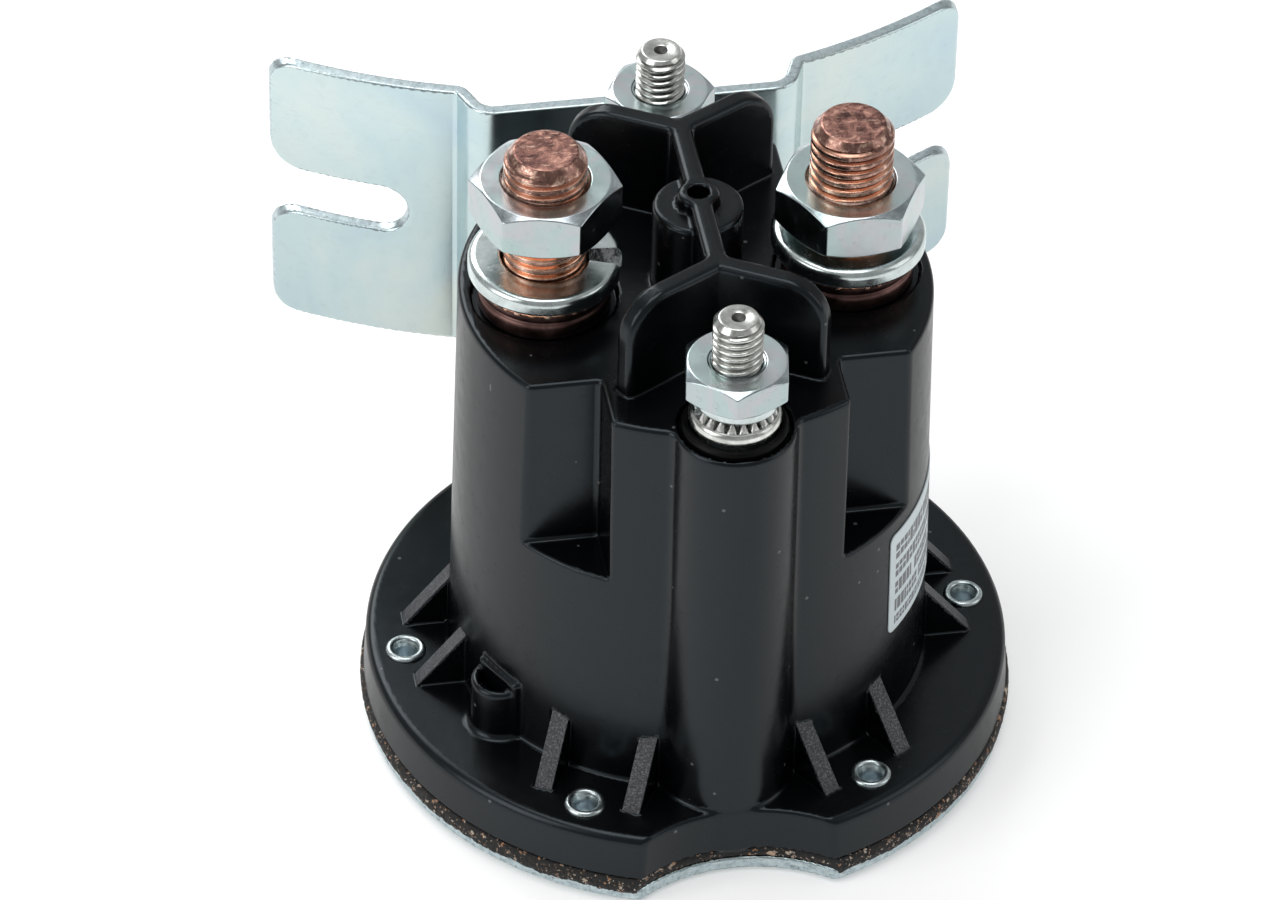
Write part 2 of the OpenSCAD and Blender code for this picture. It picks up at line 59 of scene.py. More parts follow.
def new_obj(name, verts, faces, mat=None, smooth=None):
    """Mesh object from millimetre vertices. smooth: angle in degrees, or None for flat."""
    me = bpy.data.meshes.new(name)
    me.from_pydata([tuple(float(c) * MM for c in v) for v in verts], [], [tuple(int(i) for i in f) for f in faces])
    me.validate()
    bm = bmesh.new()
    bm.from_mesh(me)
    bmesh.ops.recalc_face_normals(bm, faces=bm.faces)
    bm.to_mesh(me)
    bm.free()
    o = bpy.data.objects.new(name, me)
    bpy.context.scene.collection.objects.link(o)
    if mat:
        me.materials.append(mat)
    if smooth is not None:
        shade(o, smooth)
    return o


def shade(o, angle):
    me = o.data
    me.shade_smooth()
    bm = bmesh.new()
    bm.from_mesh(me)
    lim = math.radians(angle)
    for e in bm.edges:
        e.smooth = len(e.link_faces) == 2 and e.calc_face_angle(0.0) < lim
    bm.to_mesh(me)
    bm.free()
    me.update()


def join(parts):
    """Adds (verts, faces) lists together."""
    V, F = [], []
    for v, f in parts:
        k = len(V)
        V.extend(list(v))
        F.extend([tuple(i + k for i in g) for g in f])
    return V, F


def place(obj, node, body="relay"):
    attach(obj, body)
    if node:
        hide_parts(*([node] if isinstance(node, str) else node))
    return obj


# ------------------------------------------------------------------ material helpers

class Mat:
    """Small wrapper for building node materials."""

    def __init__(self, name):
        self.m = bpy.data.materials.new(name)
        self.m.use_nodes = True
        self.nt = self.m.node_tree
        self.nt.nodes.clear()
        self.out = self.nt.nodes.new("ShaderNodeOutputMaterial")
        self.b = self.nt.nodes.new("ShaderNodeBsdfPrincipled")
        self.link(self.b.outputs[0], self.out.inputs[0])
        self.co = self.nt.nodes.new("ShaderNodeTexCoord").outputs["Object"]

    def link(self, a, b):
        self.nt.links.new(a, b)

    def set(self, **kw):
        for k, v in kw.items():
            self.b.inputs[k.replace("_", " ")].default_value = v
        return self

    def scaled(self, sx, sy=None, sz=None, rot=(0, 0, 0)):
        n = self.nt.nodes.new("ShaderNodeMapping")
        n.inputs["Scale"].default_value = (sx, sy if sy is not None else sx, sz if sz is not None else sx)
        n.inputs["Rotation"].default_value = rot
        self.link(self.co, n.inputs["Vector"])
        return n.outputs[0]

    def noise(self, scale, detail=4, rough=0.5, vec=None, dist=0.0):
        n = self.nt.nodes.new("ShaderNodeTexNoise")
        n.inputs["Scale"].default_value = scale
        n.inputs["Detail"].default_value = detail
        n.inputs["Roughness"].default_value = rough
        n.inputs["Distortion"].default_value = dist
        self.link(vec if vec is not None else self.co, n.inputs["Vector"])
        return n.outputs["Fac"]

    def voronoi(self, scale, feature="F1", vec=None, out="Distance", rand=1.0):
        n = self.nt.nodes.new("ShaderNodeTexVoronoi")
        n.feature = feature
        n.inputs["Scale"].default_value = scale
        n.inputs["Randomness"].default_value = rand
        self.link(vec if vec is not None else self.co, n.inputs["Vector"])
        return n.outputs[out]

    def ramp(self, fac, stops, mode="LINEAR"):
        n = self.nt.nodes.new("ShaderNodeValToRGB")
        n.color_ramp.interpolation = mode
        els = n.color_ramp.elements
        while len(els) > 1:
            els.remove(els[-1])
        for i, (p, c) in enumerate(stops):
            e = els[0] if i == 0 else els.new(p)
            e.position = p
            c = (c, c, c) if isinstance(c, (int, float)) else c
            e.color = (c[0], c[1], c[2], 1)
        self.link(fac, n.inputs[0])
        return n.outputs[0]

    def math(self, op, a, b=None, clamp=False):
        n = self.nt.nodes.new("ShaderNodeMath")
        n.operation = op
        n.use_clamp = clamp
        for i, v in enumerate((a, b)):
            if v is None:
                continue
            if isinstance(v, (int, float)):
                n.inputs[i].default_value = v
            else:
                self.link(v, n.inputs[i])
        return n.outputs[0]

    def mix(self, fac, a, b, mode="MIX"):
        n = self.nt.nodes.new("ShaderNodeMix")
        n.data_type = "RGBA"
        n.blend_type = mode
        for i, v in ((0, fac), (6, a), (7, b)):
            if isinstance(v, (int, float)):
                n.inputs[i].default_value = v
            elif isinstance(v, tuple):
                n.inputs[i].default_value = (v[0], v[1], v[2], 1)
            else:
                self.link(v, n.inputs[i])
        return n.outputs[2]

    def bump(self, height, strength, dist_mm, prev=None):
        n = self.nt.nodes.new("ShaderNodeBump")
        n.inputs["Strength"].default_value = strength
        n.inputs["Distance"].default_value = dist_mm * MM
        self.link(height, n.inputs["Height"])
        if prev is not None:
            self.link(prev, n.inputs["Normal"])
        return n.outputs[0]

    def color(self, c):
        self.link(c, self.b.inputs["Base Color"])
        return self

    def rough(self, r):
        self.link(r, self.b.inputs["Roughness"])
        return self

    def normal(self, n):
        self.link(n, self.b.inputs["Normal"])
        return self

    def xyz(self, which, vec=None):
        n = self.nt.nodes.new("ShaderNodeSeparateXYZ")
        self.link(vec if vec is not None else self.co, n.inputs[0])
        return n.outputs[which]

    def geom_normal(self, which):
        g = self.nt.nodes.new("ShaderNodeNewGeometry")
        n = self.nt.nodes.new("ShaderNodeSeparateXYZ")
        self.link(g.outputs["Normal"], n.inputs[0])
        return n.outputs[which]


# noise scales below are per metre: 1000 is a feature of about a millimetre

def mat_nylon(name="nylon_black"):
    m = Mat(name).set(Metallic=0.0, IOR=1.40, Specular_Tint=(0.78, 0.92, 1.0, 1.0))
    big = m.noise(90, 3)
    mid = m.noise(700, 4)
    base = m.ramp(big, [(0.3, (0.0010, 0.0012, 0.0017)), (0.7, (0.0018, 0.0021, 0.0028))])
    # sparse pale dust specks and short lint
    v = m.voronoi(520, out="Distance")
    pick = m.voronoi(520, out="Color")
    r, = (m.xyz(0, pick),)
    speck = m.math("MULTIPLY", m.math("LESS_THAN", v, 0.10), m.math("GREATER_THAN", r, 0.86))
    v2 = m.voronoi(260, out="Distance", vec=m.scaled(1.0, 1.0, 0.35, (0.3, 0.5, 0.2)))
    pick2 = m.voronoi(260, out="Color", vec=m.scaled(1.0, 1.0, 0.35, (0.3, 0.5, 0.2)))
    speck2 = m.math("MULTIPLY", m.math("LESS_THAN", v2, 0.045), m.math("GREATER_THAN", m.xyz(1, pick2), 0.9))
    dust = m.math("ADD", m.math("MULTIPLY", speck, 0.16), m.math("MULTIPLY", speck2, 0.14), clamp=True)
    m.color(m.mix(dust, base, (0.55, 0.55, 0.55)))
    lw = m.nt.nodes.new("ShaderNodeLayerWeight")
    lw.inputs["Blend"].default_value = 0.5
    m.link(m.ramp(lw.outputs["Facing"], [(0.25, 0.52), (0.36, 0.45), (0.55, 0.27), (0.70, 0.13), (0.90, 0.07)]), m.b.inputs["Specular IOR Level"])
    m.rough(m.ramp(mid, [(0.3, 0.22), (0.7, 0.28)]))
    m.normal(m.bump(m.noise(2600, 3, 0.6), 0.12, 0.03, m.bump(m.noise(260, 2), 0.08, 0.25)))
    return m.m


def mat_nylon_grain(name="nylon_cut_grain"):
    """Fine-grained faces of the gusset ribs."""
    m = Mat(name).set(Metallic=0.0, IOR=1.45)
    g = m.noise(5200, 2, 0.8)
    m.color(m.ramp(g, [(0.36, (0.018, 0.019, 0.022)), (0.52, (0.052, 0.054, 0.060)), (0.66, (0.150, 0.154, 0.168))]))
    m.rough(m.ramp(g, [(0.3, 0.50), (0.7, 0.68)]))
    m.normal(m.bump(g, 0.45, 0.04))
    return m.m


def mat_zinc_sheet(name="zinc_sheet"):
    m = Mat(name).set(Metallic=1.0)
    big = m.noise(60, 4, 0.55)
    hue = m.noise(46, 3, 0.6, dist=0.9)
    tint = m.ramp(hue, [(0.30, (0.475, 0.600, 0.655)), (0.42, (0.520, 0.645, 0.665)), (0.54, (0.575, 0.675, 0.670)), (0.68, (0.625, 0.695, 0.660))])
    spots = m.ramp(m.noise(900, 5, 0.65), [(0.34, 0.93), (0.46, 1.0)])
    # the colour darkens towards the foot
    low = m.ramp(m.math("MULTIPLY", m.xyz(2), 20.0), [(0.15, 0.80), (0.62, 0.90), (0.85, 1.0)])
    c = m.mix(1.0, m.mix(0.55, tint, m.mix(1.0, tint, spots, "MULTIPLY")), low, "MULTIPLY")
    # a few fine scratches
    s = m.noise(260, 2, 0.5, vec=m.scaled(1.0, 1.0, 7.0, (0.0, 0.5, 0.3)))
    line = m.ramp(s, [(0.495, 0.0), (0.5, 0.35), (0.505, 0.0)])
    m.color(m.mix(line, c, (0.30, 0.34, 0.36)))
    m.rough(m.ramp(big, [(0.3, 0.19), (0.7, 0.27)]))
    m.normal(m.bump(m.noise(3200, 3, 0.6), 0.07, 0.02, m.bump(m.noise(300, 3), 0.05, 0.18)))
    return m.m


def mat_zinc_edge(name="zinc_sheared_edge"):
    m = Mat(name).set(Metallic=1.0)
    g = m.noise(1300, 5, 0.7, vec=m.scaled(1, 1, 1.6))
    pit = m.ramp(m.noise(2600, 4, 0.7), [(0.34, 0.48), (0.43, 1.0)])
    c = m.ramp(g, [(0.3, (0.30, 0.36, 0.385)), (0.5, (0.46, 0.545, 0.57)), (0.7, (0.60, 0.685, 0.70))])
    m.color(m.mix(1.0, c, pit, "MULTIPLY"))
    m.rough(m.ramp(g, [(0.3, 0.40), (0.7, 0.28)]))
    m.normal(m.bump(g, 0.22, 0.06))
    return m.m


def mat_broken_end_painted_highlights(name="zinc_cropped_end_painted_highlights"):
    """Torn, streaky end face of a lock washer, with near-white painted highlights on its shaded face."""
    m = Mat(name).set(Metallic=0.25)
    g = m.noise(900, 5, 0.75, vec=m.scaled(2.0, 1, 0.8, (0.2, 0.7, 0.3)))
    # near-white stop: painted highlights that light the shaded torn face; the dark streaks are the torn surface
    m.color(m.ramp(g, [(0.40, (0.05, 0.058, 0.062)), (0.50, (0.46, 0.51, 0.52)), (0.58, (0.95, 0.98, 0.98))]))
    m.rough(m.ramp(g, [(0.3, 0.55), (0.7, 0.32)]))
    m.normal(m.bump(g, 0.8, 0.16))
    return m.m


def mat_zinc_nut(name="zinc_bright"):
    m = Mat(name).set(Metallic=1.0)
    hue = m.noise(150, 3, 0.5, dist=0.9)
    tint = m.ramp(hue, [(0.28, (0.455, 0.585, 0.565)), (0.44, (0.480, 0.575, 0.575)), (0.58, (0.545, 0.555, 0.575)), (0.68, (0.475, 0.575, 0.575))])
    wear = m.ramp(m.noise(1400, 5, 0.7), [(0.33, 0.80), (0.45, 1.0)])
    c = m.mix(0.6, tint, m.mix(1.0, tint, wear, "MULTIPLY"))
    # chamfers and rounded edges: a greyer, mottled band picked by the slope of the normal
    up = m.math("ABSOLUTE", m.geom_normal(2))
    band = m.math("MULTIPLY", m.ramp(up, [(0.30, 0.0), (0.55, 1.0)]), m.ramp(up, [(0.90, 1.0), (0.985, 0.0)]))
    slope_band_grey = m.ramp(m.noise(900, 5, 0.7, vec=m.scaled(1, 1, 2.2)), [(0.38, (0.24, 0.29, 0.325)), (0.54, (0.46, 0.53, 0.57)), (0.70, (0.72, 0.80, 0.83))])
    # painted light: faces pointing up or down are made brighter and the upright flats darker
    c = m.mix(1.0, c, m.ramp(up, [(0.2, 0.86), (0.9, 0.9), (0.97, 1.22)]), "MULTIPLY")
    m.color(m.mix(m.math("MULTIPLY", band, 0.60), c, slope_band_grey))
    m.rough(m.ramp(m.noise(420, 4, 0.6), [(0.3, 0.16), (0.7, 0.28)]))
    m.normal(m.bump(m.noise(2400, 3, 0.6), 0.10, 0.02, m.bump(m.noise(330, 3), 0.07, 0.12)))
    return m.m


def mat_zinc_washer(name="zinc_mottled"):
    """Duller, blotchy plating of the lock washers."""
    m = Mat(name).set(Metallic=1.0)
    g = m.noise(620, 6, 0.72, dist=0.5)
    m.color(m.ramp(g, [(0.30, (0.44, 0.495, 0.49)), (0.46, (0.54, 0.60, 0.595)), (0.60, (0.61, 0.68, 0.675)), (0.74, (0.70, 0.755, 0.75))]))
    m.rough(m.ramp(m.noise(520, 5, 0.7), [(0.3, 0.16), (0.5, 0.22), (0.7, 0.32)]))
    m.normal(m.bump(m.noise(1500, 4, 0.7), 0.09, 0.03, m.bump(m.noise(330, 3), 0.08, 0.12)))
    return m.m


def browning(m):
    """0 low on the studs, rising towards their weathered ends."""
    return m.ramp(m.math("MULTIPLY", m.xyz(2), 14.4), [(0.890, 0.0), (0.925, 0.35), (0.965, 0.85)])


def mat_copper(name="copper_stud"):
    """Bright orange flanks and roots of the rolled thread."""
    m = Mat(name).set(Metallic=1.0)
    blot = m.noise(420, 4, 0.6, dist=0.5)
    warm = m.ramp(blot, [(0.3, (0.76, 0.350, 0.205)), (0.55, (0.90, 0.475, 0.310)), (0.75, (0.98, 0.620, 0.460))])
    dull = m.ramp(blot, [(0.3, (0.33, 0.165, 0.120)), (0.55, (0.50, 0.275, 0.205)), (0.75, (0.72, 0.45, 0.345))])
    m.color(m.mix(browning(m), warm, dull))
    m.rough(m.ramp(m.noise(700, 4), [(0.3, 0.19), (0.7, 0.33)]))
    scr = m.noise(1300, 5, 0.7, vec=m.scaled(1, 3.2, 1, (0, 0, 0.6)))
    m.normal(m.bump(scr, 0.12, 0.05, m.bump(m.noise(3600, 2), 0.06, 0.03)))
    return m.m


def mat_copper_crest(name="copper_crest"):
    """Browned thread crests and end chamfer."""
    m = Mat(name).set(Metallic=1.0)
    b = m.noise(1300, 5, 0.7, dist=0.4)
    low = m.ramp(b, [(0.32, (0.36, 0.200, 0.158)), (0.52, (0.55, 0.325, 0.255)), (0.66, (0.92, 0.67, 0.54))])
    top = m.ramp(b, [(0.34, (0.105, 0.055, 0.045)), (0.52, (0.250, 0.135, 0.108)), (0.66, (0.80, 0.54, 0.43))])
    m.color(m.mix(browning(m), low, top))
    m.rough(m.ramp(m.noise(800, 4), [(0.3, 0.20), (0.7, 0.34)]))
    m.normal(m.bump(m.noise(1700, 4, 0.7), 0.25, 0.06))
    return m.m


def mat_copper_end(name="copper_end_oxide"):
    """Browned, scratched end face of a copper stud."""
    m = Mat(name).set(Metallic=1.0)
    b = m.noise(900, 6, 0.72, dist=0.5)
    c = m.ramp(b, [(0.34, (0.080, 0.040, 0.036)), (0.47, (0.200, 0.098, 0.082)), (0.58, (0.42, 0.215, 0.170)), (0.70, (0.80, 0.50, 0.39))])
    s = m.noise(560, 5, 0.75, vec=m.scaled(1, 5.0, 1, (0, 0, 0.75)))
    m.color(m.mix(m.ramp(s, [(0.57, 0.0), (0.66, 0.75)]), c, (0.90, 0.62, 0.48)))
    m.rough(m.ramp(b, [(0.3, 0.22), (0.7, 0.38)]))
    m.normal(m.bump(s, 0.55, 0.10, m.bump(m.noise(1500, 4), 0.28, 0.08)))
    return m.m


def mat_copper_dark(name="copper_collar"):
    m = Mat(name).set(Metallic=1.0)
    b = m.noise(500, 5, 0.6)
    m.color(m.ramp(b, [(0.3, (0.090, 0.050, 0.046)), (0.6, (0.19, 0.110, 0.098)), (0.8, (0.36, 0.22, 0.19))]))
    m.rough(m.ramp(b, [(0.3, 0.32), (0.7, 0.46)]))
    m.normal(m.bump(m.noise(1500, 4), 0.15, 0.05))
    return m.m


def mat_tin(name="tin_stud"):
    m = Mat(name).set(Metallic=1.0)
    b = m.noise(800, 4, 0.6)
    m.color(m.ramp(b, [(0.32, (0.40, 0.41, 0.385)), (0.55, (0.62, 0.63, 0.60)), (0.7, (0.80, 0.81, 0.78))]))
    m.rough(m.ramp(m.noise(600, 4), [(0.3, 0.16), (0.7, 0.30)]))
    m.normal(m.bump(m.noise(1700, 4, 0.6), 0.14, 0.04))
    return m.m


def mat_rivet(name="rivet_plate"):
    m = Mat(name).set(Metallic=1.0)
    b = m.noise(700, 4, 0.6)
    m.color(m.ramp(b, [(0.3, (0.36, 0.42, 0.43)), (0.7, (0.58, 0.64, 0.65))]))
    m.rough(m.ramp(b, [(0.3, 0.20), (0.7, 0.33)]))
    m.normal(m.bump(m.noise(1900, 4, 0.6), 0.12, 0.04))
    return m.m


def mat_gasket(name="cork_rubber"):
    """Black rubber binder with cork grains of several sizes and colours."""
    m = Mat(name).set(Metallic=0.0)
    n1 = m.noise(1500, 5, 0.7)
    c = m.ramp(n1, [(0.38, (0.002, 0.002, 0.0025)), (0.56, (0.010, 0.0085, 0.0075)), (0.70, (0.042, 0.031, 0.024))])
    wob = m.nt.nodes.new("ShaderNodeMix")
    wob.data_type = "VECTOR"
    wob.inputs[0].default_value = 0.0008
    noisy = m.nt.nodes.new("ShaderNodeTexNoise")
    noisy.inputs["Scale"].default_value = 2600
    noisy.inputs["Detail"].default_value = 4.0
    m.link(m.co, noisy.inputs["Vector"])
    m.link(m.co, wob.inputs[4])
    m.link(noisy.outputs["Color"], wob.inputs[5])
    vec = wob.outputs[1]
    for scale, keep, size, pal in ((700, 0.90, 0.30, ((0.36, 0.20, 0.12), (0.50, 0.34, 0.23), (0.54, 0.45, 0.36))),
                                   (1150, 0.90, 0.30, ((0.28, 0.17, 0.11), (0.40, 0.25, 0.16), (0.50, 0.42, 0.34))),
                                   (1900, 0.80, 0.34, ((0.36, 0.18, 0.09), (0.17, 0.11, 0.075), (0.50, 0.41, 0.32))),
                                   (3600, 0.76, 0.40, ((0.34, 0.22, 0.14), (0.52, 0.45, 0.38), (0.10, 0.065, 0.045)))):
        v = m.nt.nodes.new("ShaderNodeTexVoronoi")
        v.inputs["Scale"].default_value = scale
        m.link(vec, v.inputs["Vector"])
        pick = m.xyz(0, v.outputs["Color"])
        hue = m.xyz(1, v.outputs["Color"])
        f = m.math("MULTIPLY", m.math("GREATER_THAN", pick, keep), m.math("LESS_THAN", v.outputs["Distance"], size))
        c = m.mix(f, c, m.ramp(hue, [(0.2, pal[0]), (0.5, pal[1]), (0.85, pal[2])]))
    m.color(c)
    m.rough(m.ramp(n1, [(0.3, 0.55), (0.7, 0.85)]))
    m.normal(m.bump(n1, 1.0, 0.30))
    return m.m


def mat_seal(name="seal_black"):
    m = Mat(name).set(Metallic=0.0, IOR=1.35)
    m.b.inputs["Specular IOR Level"].default_value = 0.2
    n = m.noise(600, 3)
    m.color(m.ramp(n, [(0.3, (0.0012, 0.0012, 0.0015)), (0.7, (0.003, 0.003, 0.0034))]))
    m.rough(m.ramp(n, [(0.3, 0.34), (0.7, 0.48)]))
    m.normal(m.bump(m.noise(500, 3), 0.10, 0.06))
    return m.m


def mat_label(name="label_paper"):
    m = Mat(name).set(Metallic=0.0, IOR=1.45)
    n = m.noise(260, 4)
    m.color(m.ramp(n, [(0.3, (0.56, 0.64, 0.67)), (0.7, (0.63, 0.70, 0.72))]))
    m.rough(m.ramp(m.noise(1800, 3), [(0.3, 0.40), (0.7, 0.52)]))
    m.normal(m.bump(m.noise(2600, 4, 0.65), 0.10, 0.02))
    return m.m


def mat_print(name="label_bars"):
    m = Mat(name).set(Metallic=0.0, IOR=1.45)
    n = m.noise(2600, 4, 0.7)
    m.color(m.ramp(n, [(0.3, (0.10, 0.105, 0.115)), (0.7, (0.17, 0.175, 0.185))]))
    m.rough(m.ramp(n, [(0.3, 0.40), (0.7, 0.55)]))
    return m.m


def mat_plain(name, dark, light, metallic, r0, r1, scale=500, bump=0.12, rings=None):
    m = Mat(name).set(Metallic=metallic)
    n = m.noise(scale, 4, 0.6)
    h = m.noise(scale * 4, 3)
    if rings:
        w = m.nt.nodes.new("ShaderNodeTexWave")
        w.wave_type, w.bands_direction = "BANDS", "Z"
        w.inputs["Scale"].default_value = rings
        w.inputs["Distortion"].default_value = 0.2
        m.link(m.co, w.inputs["Vector"])
        h = w.outputs["Fac"]
        n = m.math("MULTIPLY", m.math("ADD", n, h), 0.5)
    m.color(m.ramp(n, [(0.3, dark), (0.7, light)]))
    m.rough(m.ramp(n, [(0.3, r0), (0.7, r1)]))
    m.normal(m.bump(h, bump, 0.06))
    return m.m


NYLON = mat_nylon()
GRAIN = mat_nylon_grain()
SHEETM = mat_zinc_sheet()
EDGE = mat_zinc_edge()
NUT = mat_zinc_nut()
COPPER = mat_copper()
COPPER_D = mat_copper_dark()
COPPER_END = mat_copper_end()
CREST = mat_copper_crest()
BROKEN_PAINTED_HIGHLIGHTS = mat_broken_end_painted_highlights()
# thread roots: dark copper painted as shade in the grooves
COPPER_ROOT_SHADE = mat_plain("copper_thread_roots_painted_shade", (0.060, 0.024, 0.016), (0.17, 0.078, 0.052), 1.0, 0.25, 0.4, 900)
WASHER = mat_zinc_washer()
# coil stud thread roots: dark tin painted as shade in the grooves
TIN_ROOT_SHADE = mat_plain("tin_thread_roots_painted_shade", (0.13, 0.13, 0.125), (0.30, 0.30, 0.29), 1.0, 0.25, 0.4, 900)
# tooth tips: clean copper, made paler and less metallic as painted glints
TIP_GLINT = mat_plain("copper_tooth_tips_painted_glints", (0.62, 0.33, 0.22), (0.95, 0.70, 0.55), 0.35, 0.25, 0.4, 1400)
TIN_DARK = mat_plain("tin_dimple", (0.050, 0.050, 0.050), (0.12, 0.12, 0.115), 1.0, 0.45, 0.6, 900)
TIN_SER = mat_plain("tin_serration", (0.50, 0.50, 0.48), (0.80, 0.80, 0.78), 1.0, 0.22, 0.36, 900)
RIVET_IN = mat_plain("rivet_hollow", (0.42, 0.50, 0.54), (0.66, 0.73, 0.76), 1.0, 0.28, 0.42, 700)
TIN = mat_tin()
RIVET = mat_rivet()
CORK = mat_gasket()
SEAL = mat_seal()
LABEL = mat_label()
PRINT = mat_print()


# ------------------------------------------------------------------ rounded solids from distance fields

def u_round(a, b, r):
    """Union with a concave fillet of radius r."""
    u, v = np.maximum(r - a, 0), np.maximum(r - b, 0)
    return np.maximum(r, np.minimum(a, b)) - np.sqrt(u * u + v * v)


def i_round(a, b, r):
    """Intersection with a convex rounding of radius r."""
    u, v = np.maximum(r + a, 0), np.maximum(r + b, 0)
    return np.minimum(-r, np.maximum(a, b)) + np.sqrt(u * u + v * v)


def hyp(a, b):
    return np.sqrt(a * a + b * b)


def field_normals(f, P, e=0.02):
    G = np.empty(P.shape, np.float64)
    x, y, z = P[:, 0], P[:, 1], P[:, 2]
    G[:, 0] = f(x + e, y, z) - f(x - e, y, z)
    G[:, 1] = f(x, y + e, z) - f(x, y - e, z)
    G[:, 2] = f(x, y, z + e) - f(x, y, z - e)
    n = np.linalg.norm(G, axis=1, keepdims=True)
    return G / np.maximum(n, 1e-9)


def onto_field(f, P, lim, rounds=2):
    """Moves points along the gradient onto the surface f = 0."""
    start = P.copy()
    for _ in range(rounds):
        d = f(P[:, 0], P[:, 1], P[:, 2])
        P = P - np.clip(d, -lim, lim)[:, None] * field_normals(f, P)
    bad = np.linalg.norm(P - start, axis=1) > 1.7 * lim
    P[bad] = start[bad]
    return P


def field_mesh(f, lo, hi, h, block=8):
    """Surface nets over the blocks of a grid that the surface passes through. f takes x, y, z arrays in mm."""
    lo = np.array(lo, np.float64)
    nb = np.ceil((np.array(hi) - lo) / (h * block)).astype(int)
    c = (np.arange(block + 1)) * h
    B = np.stack(np.meshgrid(*[np.arange(n) for n in nb], indexing="ij"), -1).reshape(-1, 3)
    mid = lo + (B + 0.5) * h * block
    d = f(mid[:, 0], mid[:, 1], mid[:, 2])
    B = B[np.abs(d) < h * block * 0.5 * math.sqrt(3) * 1.15 + 0.3]
    shape = nb * block + 1
    ids = np.full(tuple(shape), -1, np.int32)
    verts, quads_x = [], []
    gx, gy, gz = np.meshgrid(c, c, c, indexing="ij")
    corner = [(i, j, k) for i in (0, 1) for j in (0, 1) for k in (0, 1)]
    edges = [(a, b) for a in range(8) for b in range(a + 1, 8) if bin(a ^ b).count("1") == 1]
    count = 0
    crossings = [[], [], []]
    for s in range(0, len(B), 160):
        bb = B[s:s + 160]
        o = lo + bb * h * block
        X = (o[:, 0, None, None, None] + gx).astype(np.float64)
        Y = (o[:, 1, None, None, None] + gy).astype(np.float64)
        Z = (o[:, 2, None, None, None] + gz).astype(np.float64)
        D = f(X, Y, Z)
        neg = D < 0
        cn = np.zeros(neg[:, :-1, :-1, :-1].shape, np.int8)
        for i, j, k in corner:
            cn += neg[:, i:i + block, j:j + block, k:k + block]
        q = np.argwhere((cn > 0) & (cn < 8))
        if len(q) == 0:
            continue
        vals = np.stack([D[q[:, 0], q[:, 1] + i, q[:, 2] + j, q[:, 3] + k] for i, j, k in corner], 1)
        acc = np.zeros((len(q), 3))
        cnt = np.zeros(len(q))
        cc = np.array(corner, np.float64)
        for a, b in edges:
            va, vb = vals[:, a], vals[:, b]
            m = (va < 0) != (vb < 0)
            t = np.where(m, va / np.where(m, va - vb, 1.0), 0.0)
            acc += np.where(m[:, None], cc[a] + t[:, None] * (cc[b] - cc[a]), 0.0)
            cnt += m
        cell = bb[q[:, 0]] * block + q[:, 1:]
        verts.append(lo + (cell + acc / cnt[:, None]) * h)
        ids[cell[:, 0], cell[:, 1], cell[:, 2]] = np.arange(count, count + len(q))
        count += len(q)
        for ax in range(3):
            n0 = neg[:, :block, :block, :block]
            n1 = neg[:, 1 if ax == 0 else 0:, 1 if ax == 1 else 0:, 1 if ax == 2 else 0:][:, :block, :block, :block]
            e = np.argwhere(n0 != n1)
            flip = n0[e[:, 0], e[:, 1], e[:, 2], e[:, 3]]
            crossings[ax].append(np.c_[bb[e[:, 0]] * block + e[:, 1:], flip])
    V = np.concatenate(verts)
    F = []
    for ax in range(3):
        E = np.concatenate(crossings[ax])
        g, flip = E[:, :3], E[:, 3].astype(bool)
        u, v = [(1, 2), (2, 0), (0, 1)][ax]
        quad = []
        for du, dv in ((-1, -1), (0, -1), (0, 0), (-1, 0)):
            w = g.copy()
            w[:, u] += du
            w[:, v] += dv
            ok = (w >= 0).all(1)
            w = np.maximum(w, 0)
            quad.append(np.where(ok, ids[w[:, 0], w[:, 1], w[:, 2]], -1))
        Q = np.stack(quad, 1)
        Q[~flip] = Q[~flip][:, ::-1]
        F.append(Q[(Q >= 0).all(1)])
    return V, np.concatenate(F)


def mesh_from_arrays(name, V, F):
    me = bpy.data.meshes.new(name)
    V = np.asarray(V, np.float64) * MM
    F = np.asarray(F)
    me.vertices.add(len(V))
    me.vertices.foreach_set("co", V.astype(np.float32).ravel())
    me.loops.add(F.size)
    me.loops.foreach_set("vertex_index", F.astype(np.int32).ravel())
    me.polygons.add(len(F))
    k = F.shape[1]
    me.polygons.foreach_set("loop_start", np.arange(0, F.size, k, dtype=np.int32))
    me.update(calc_edges=True)
    return me


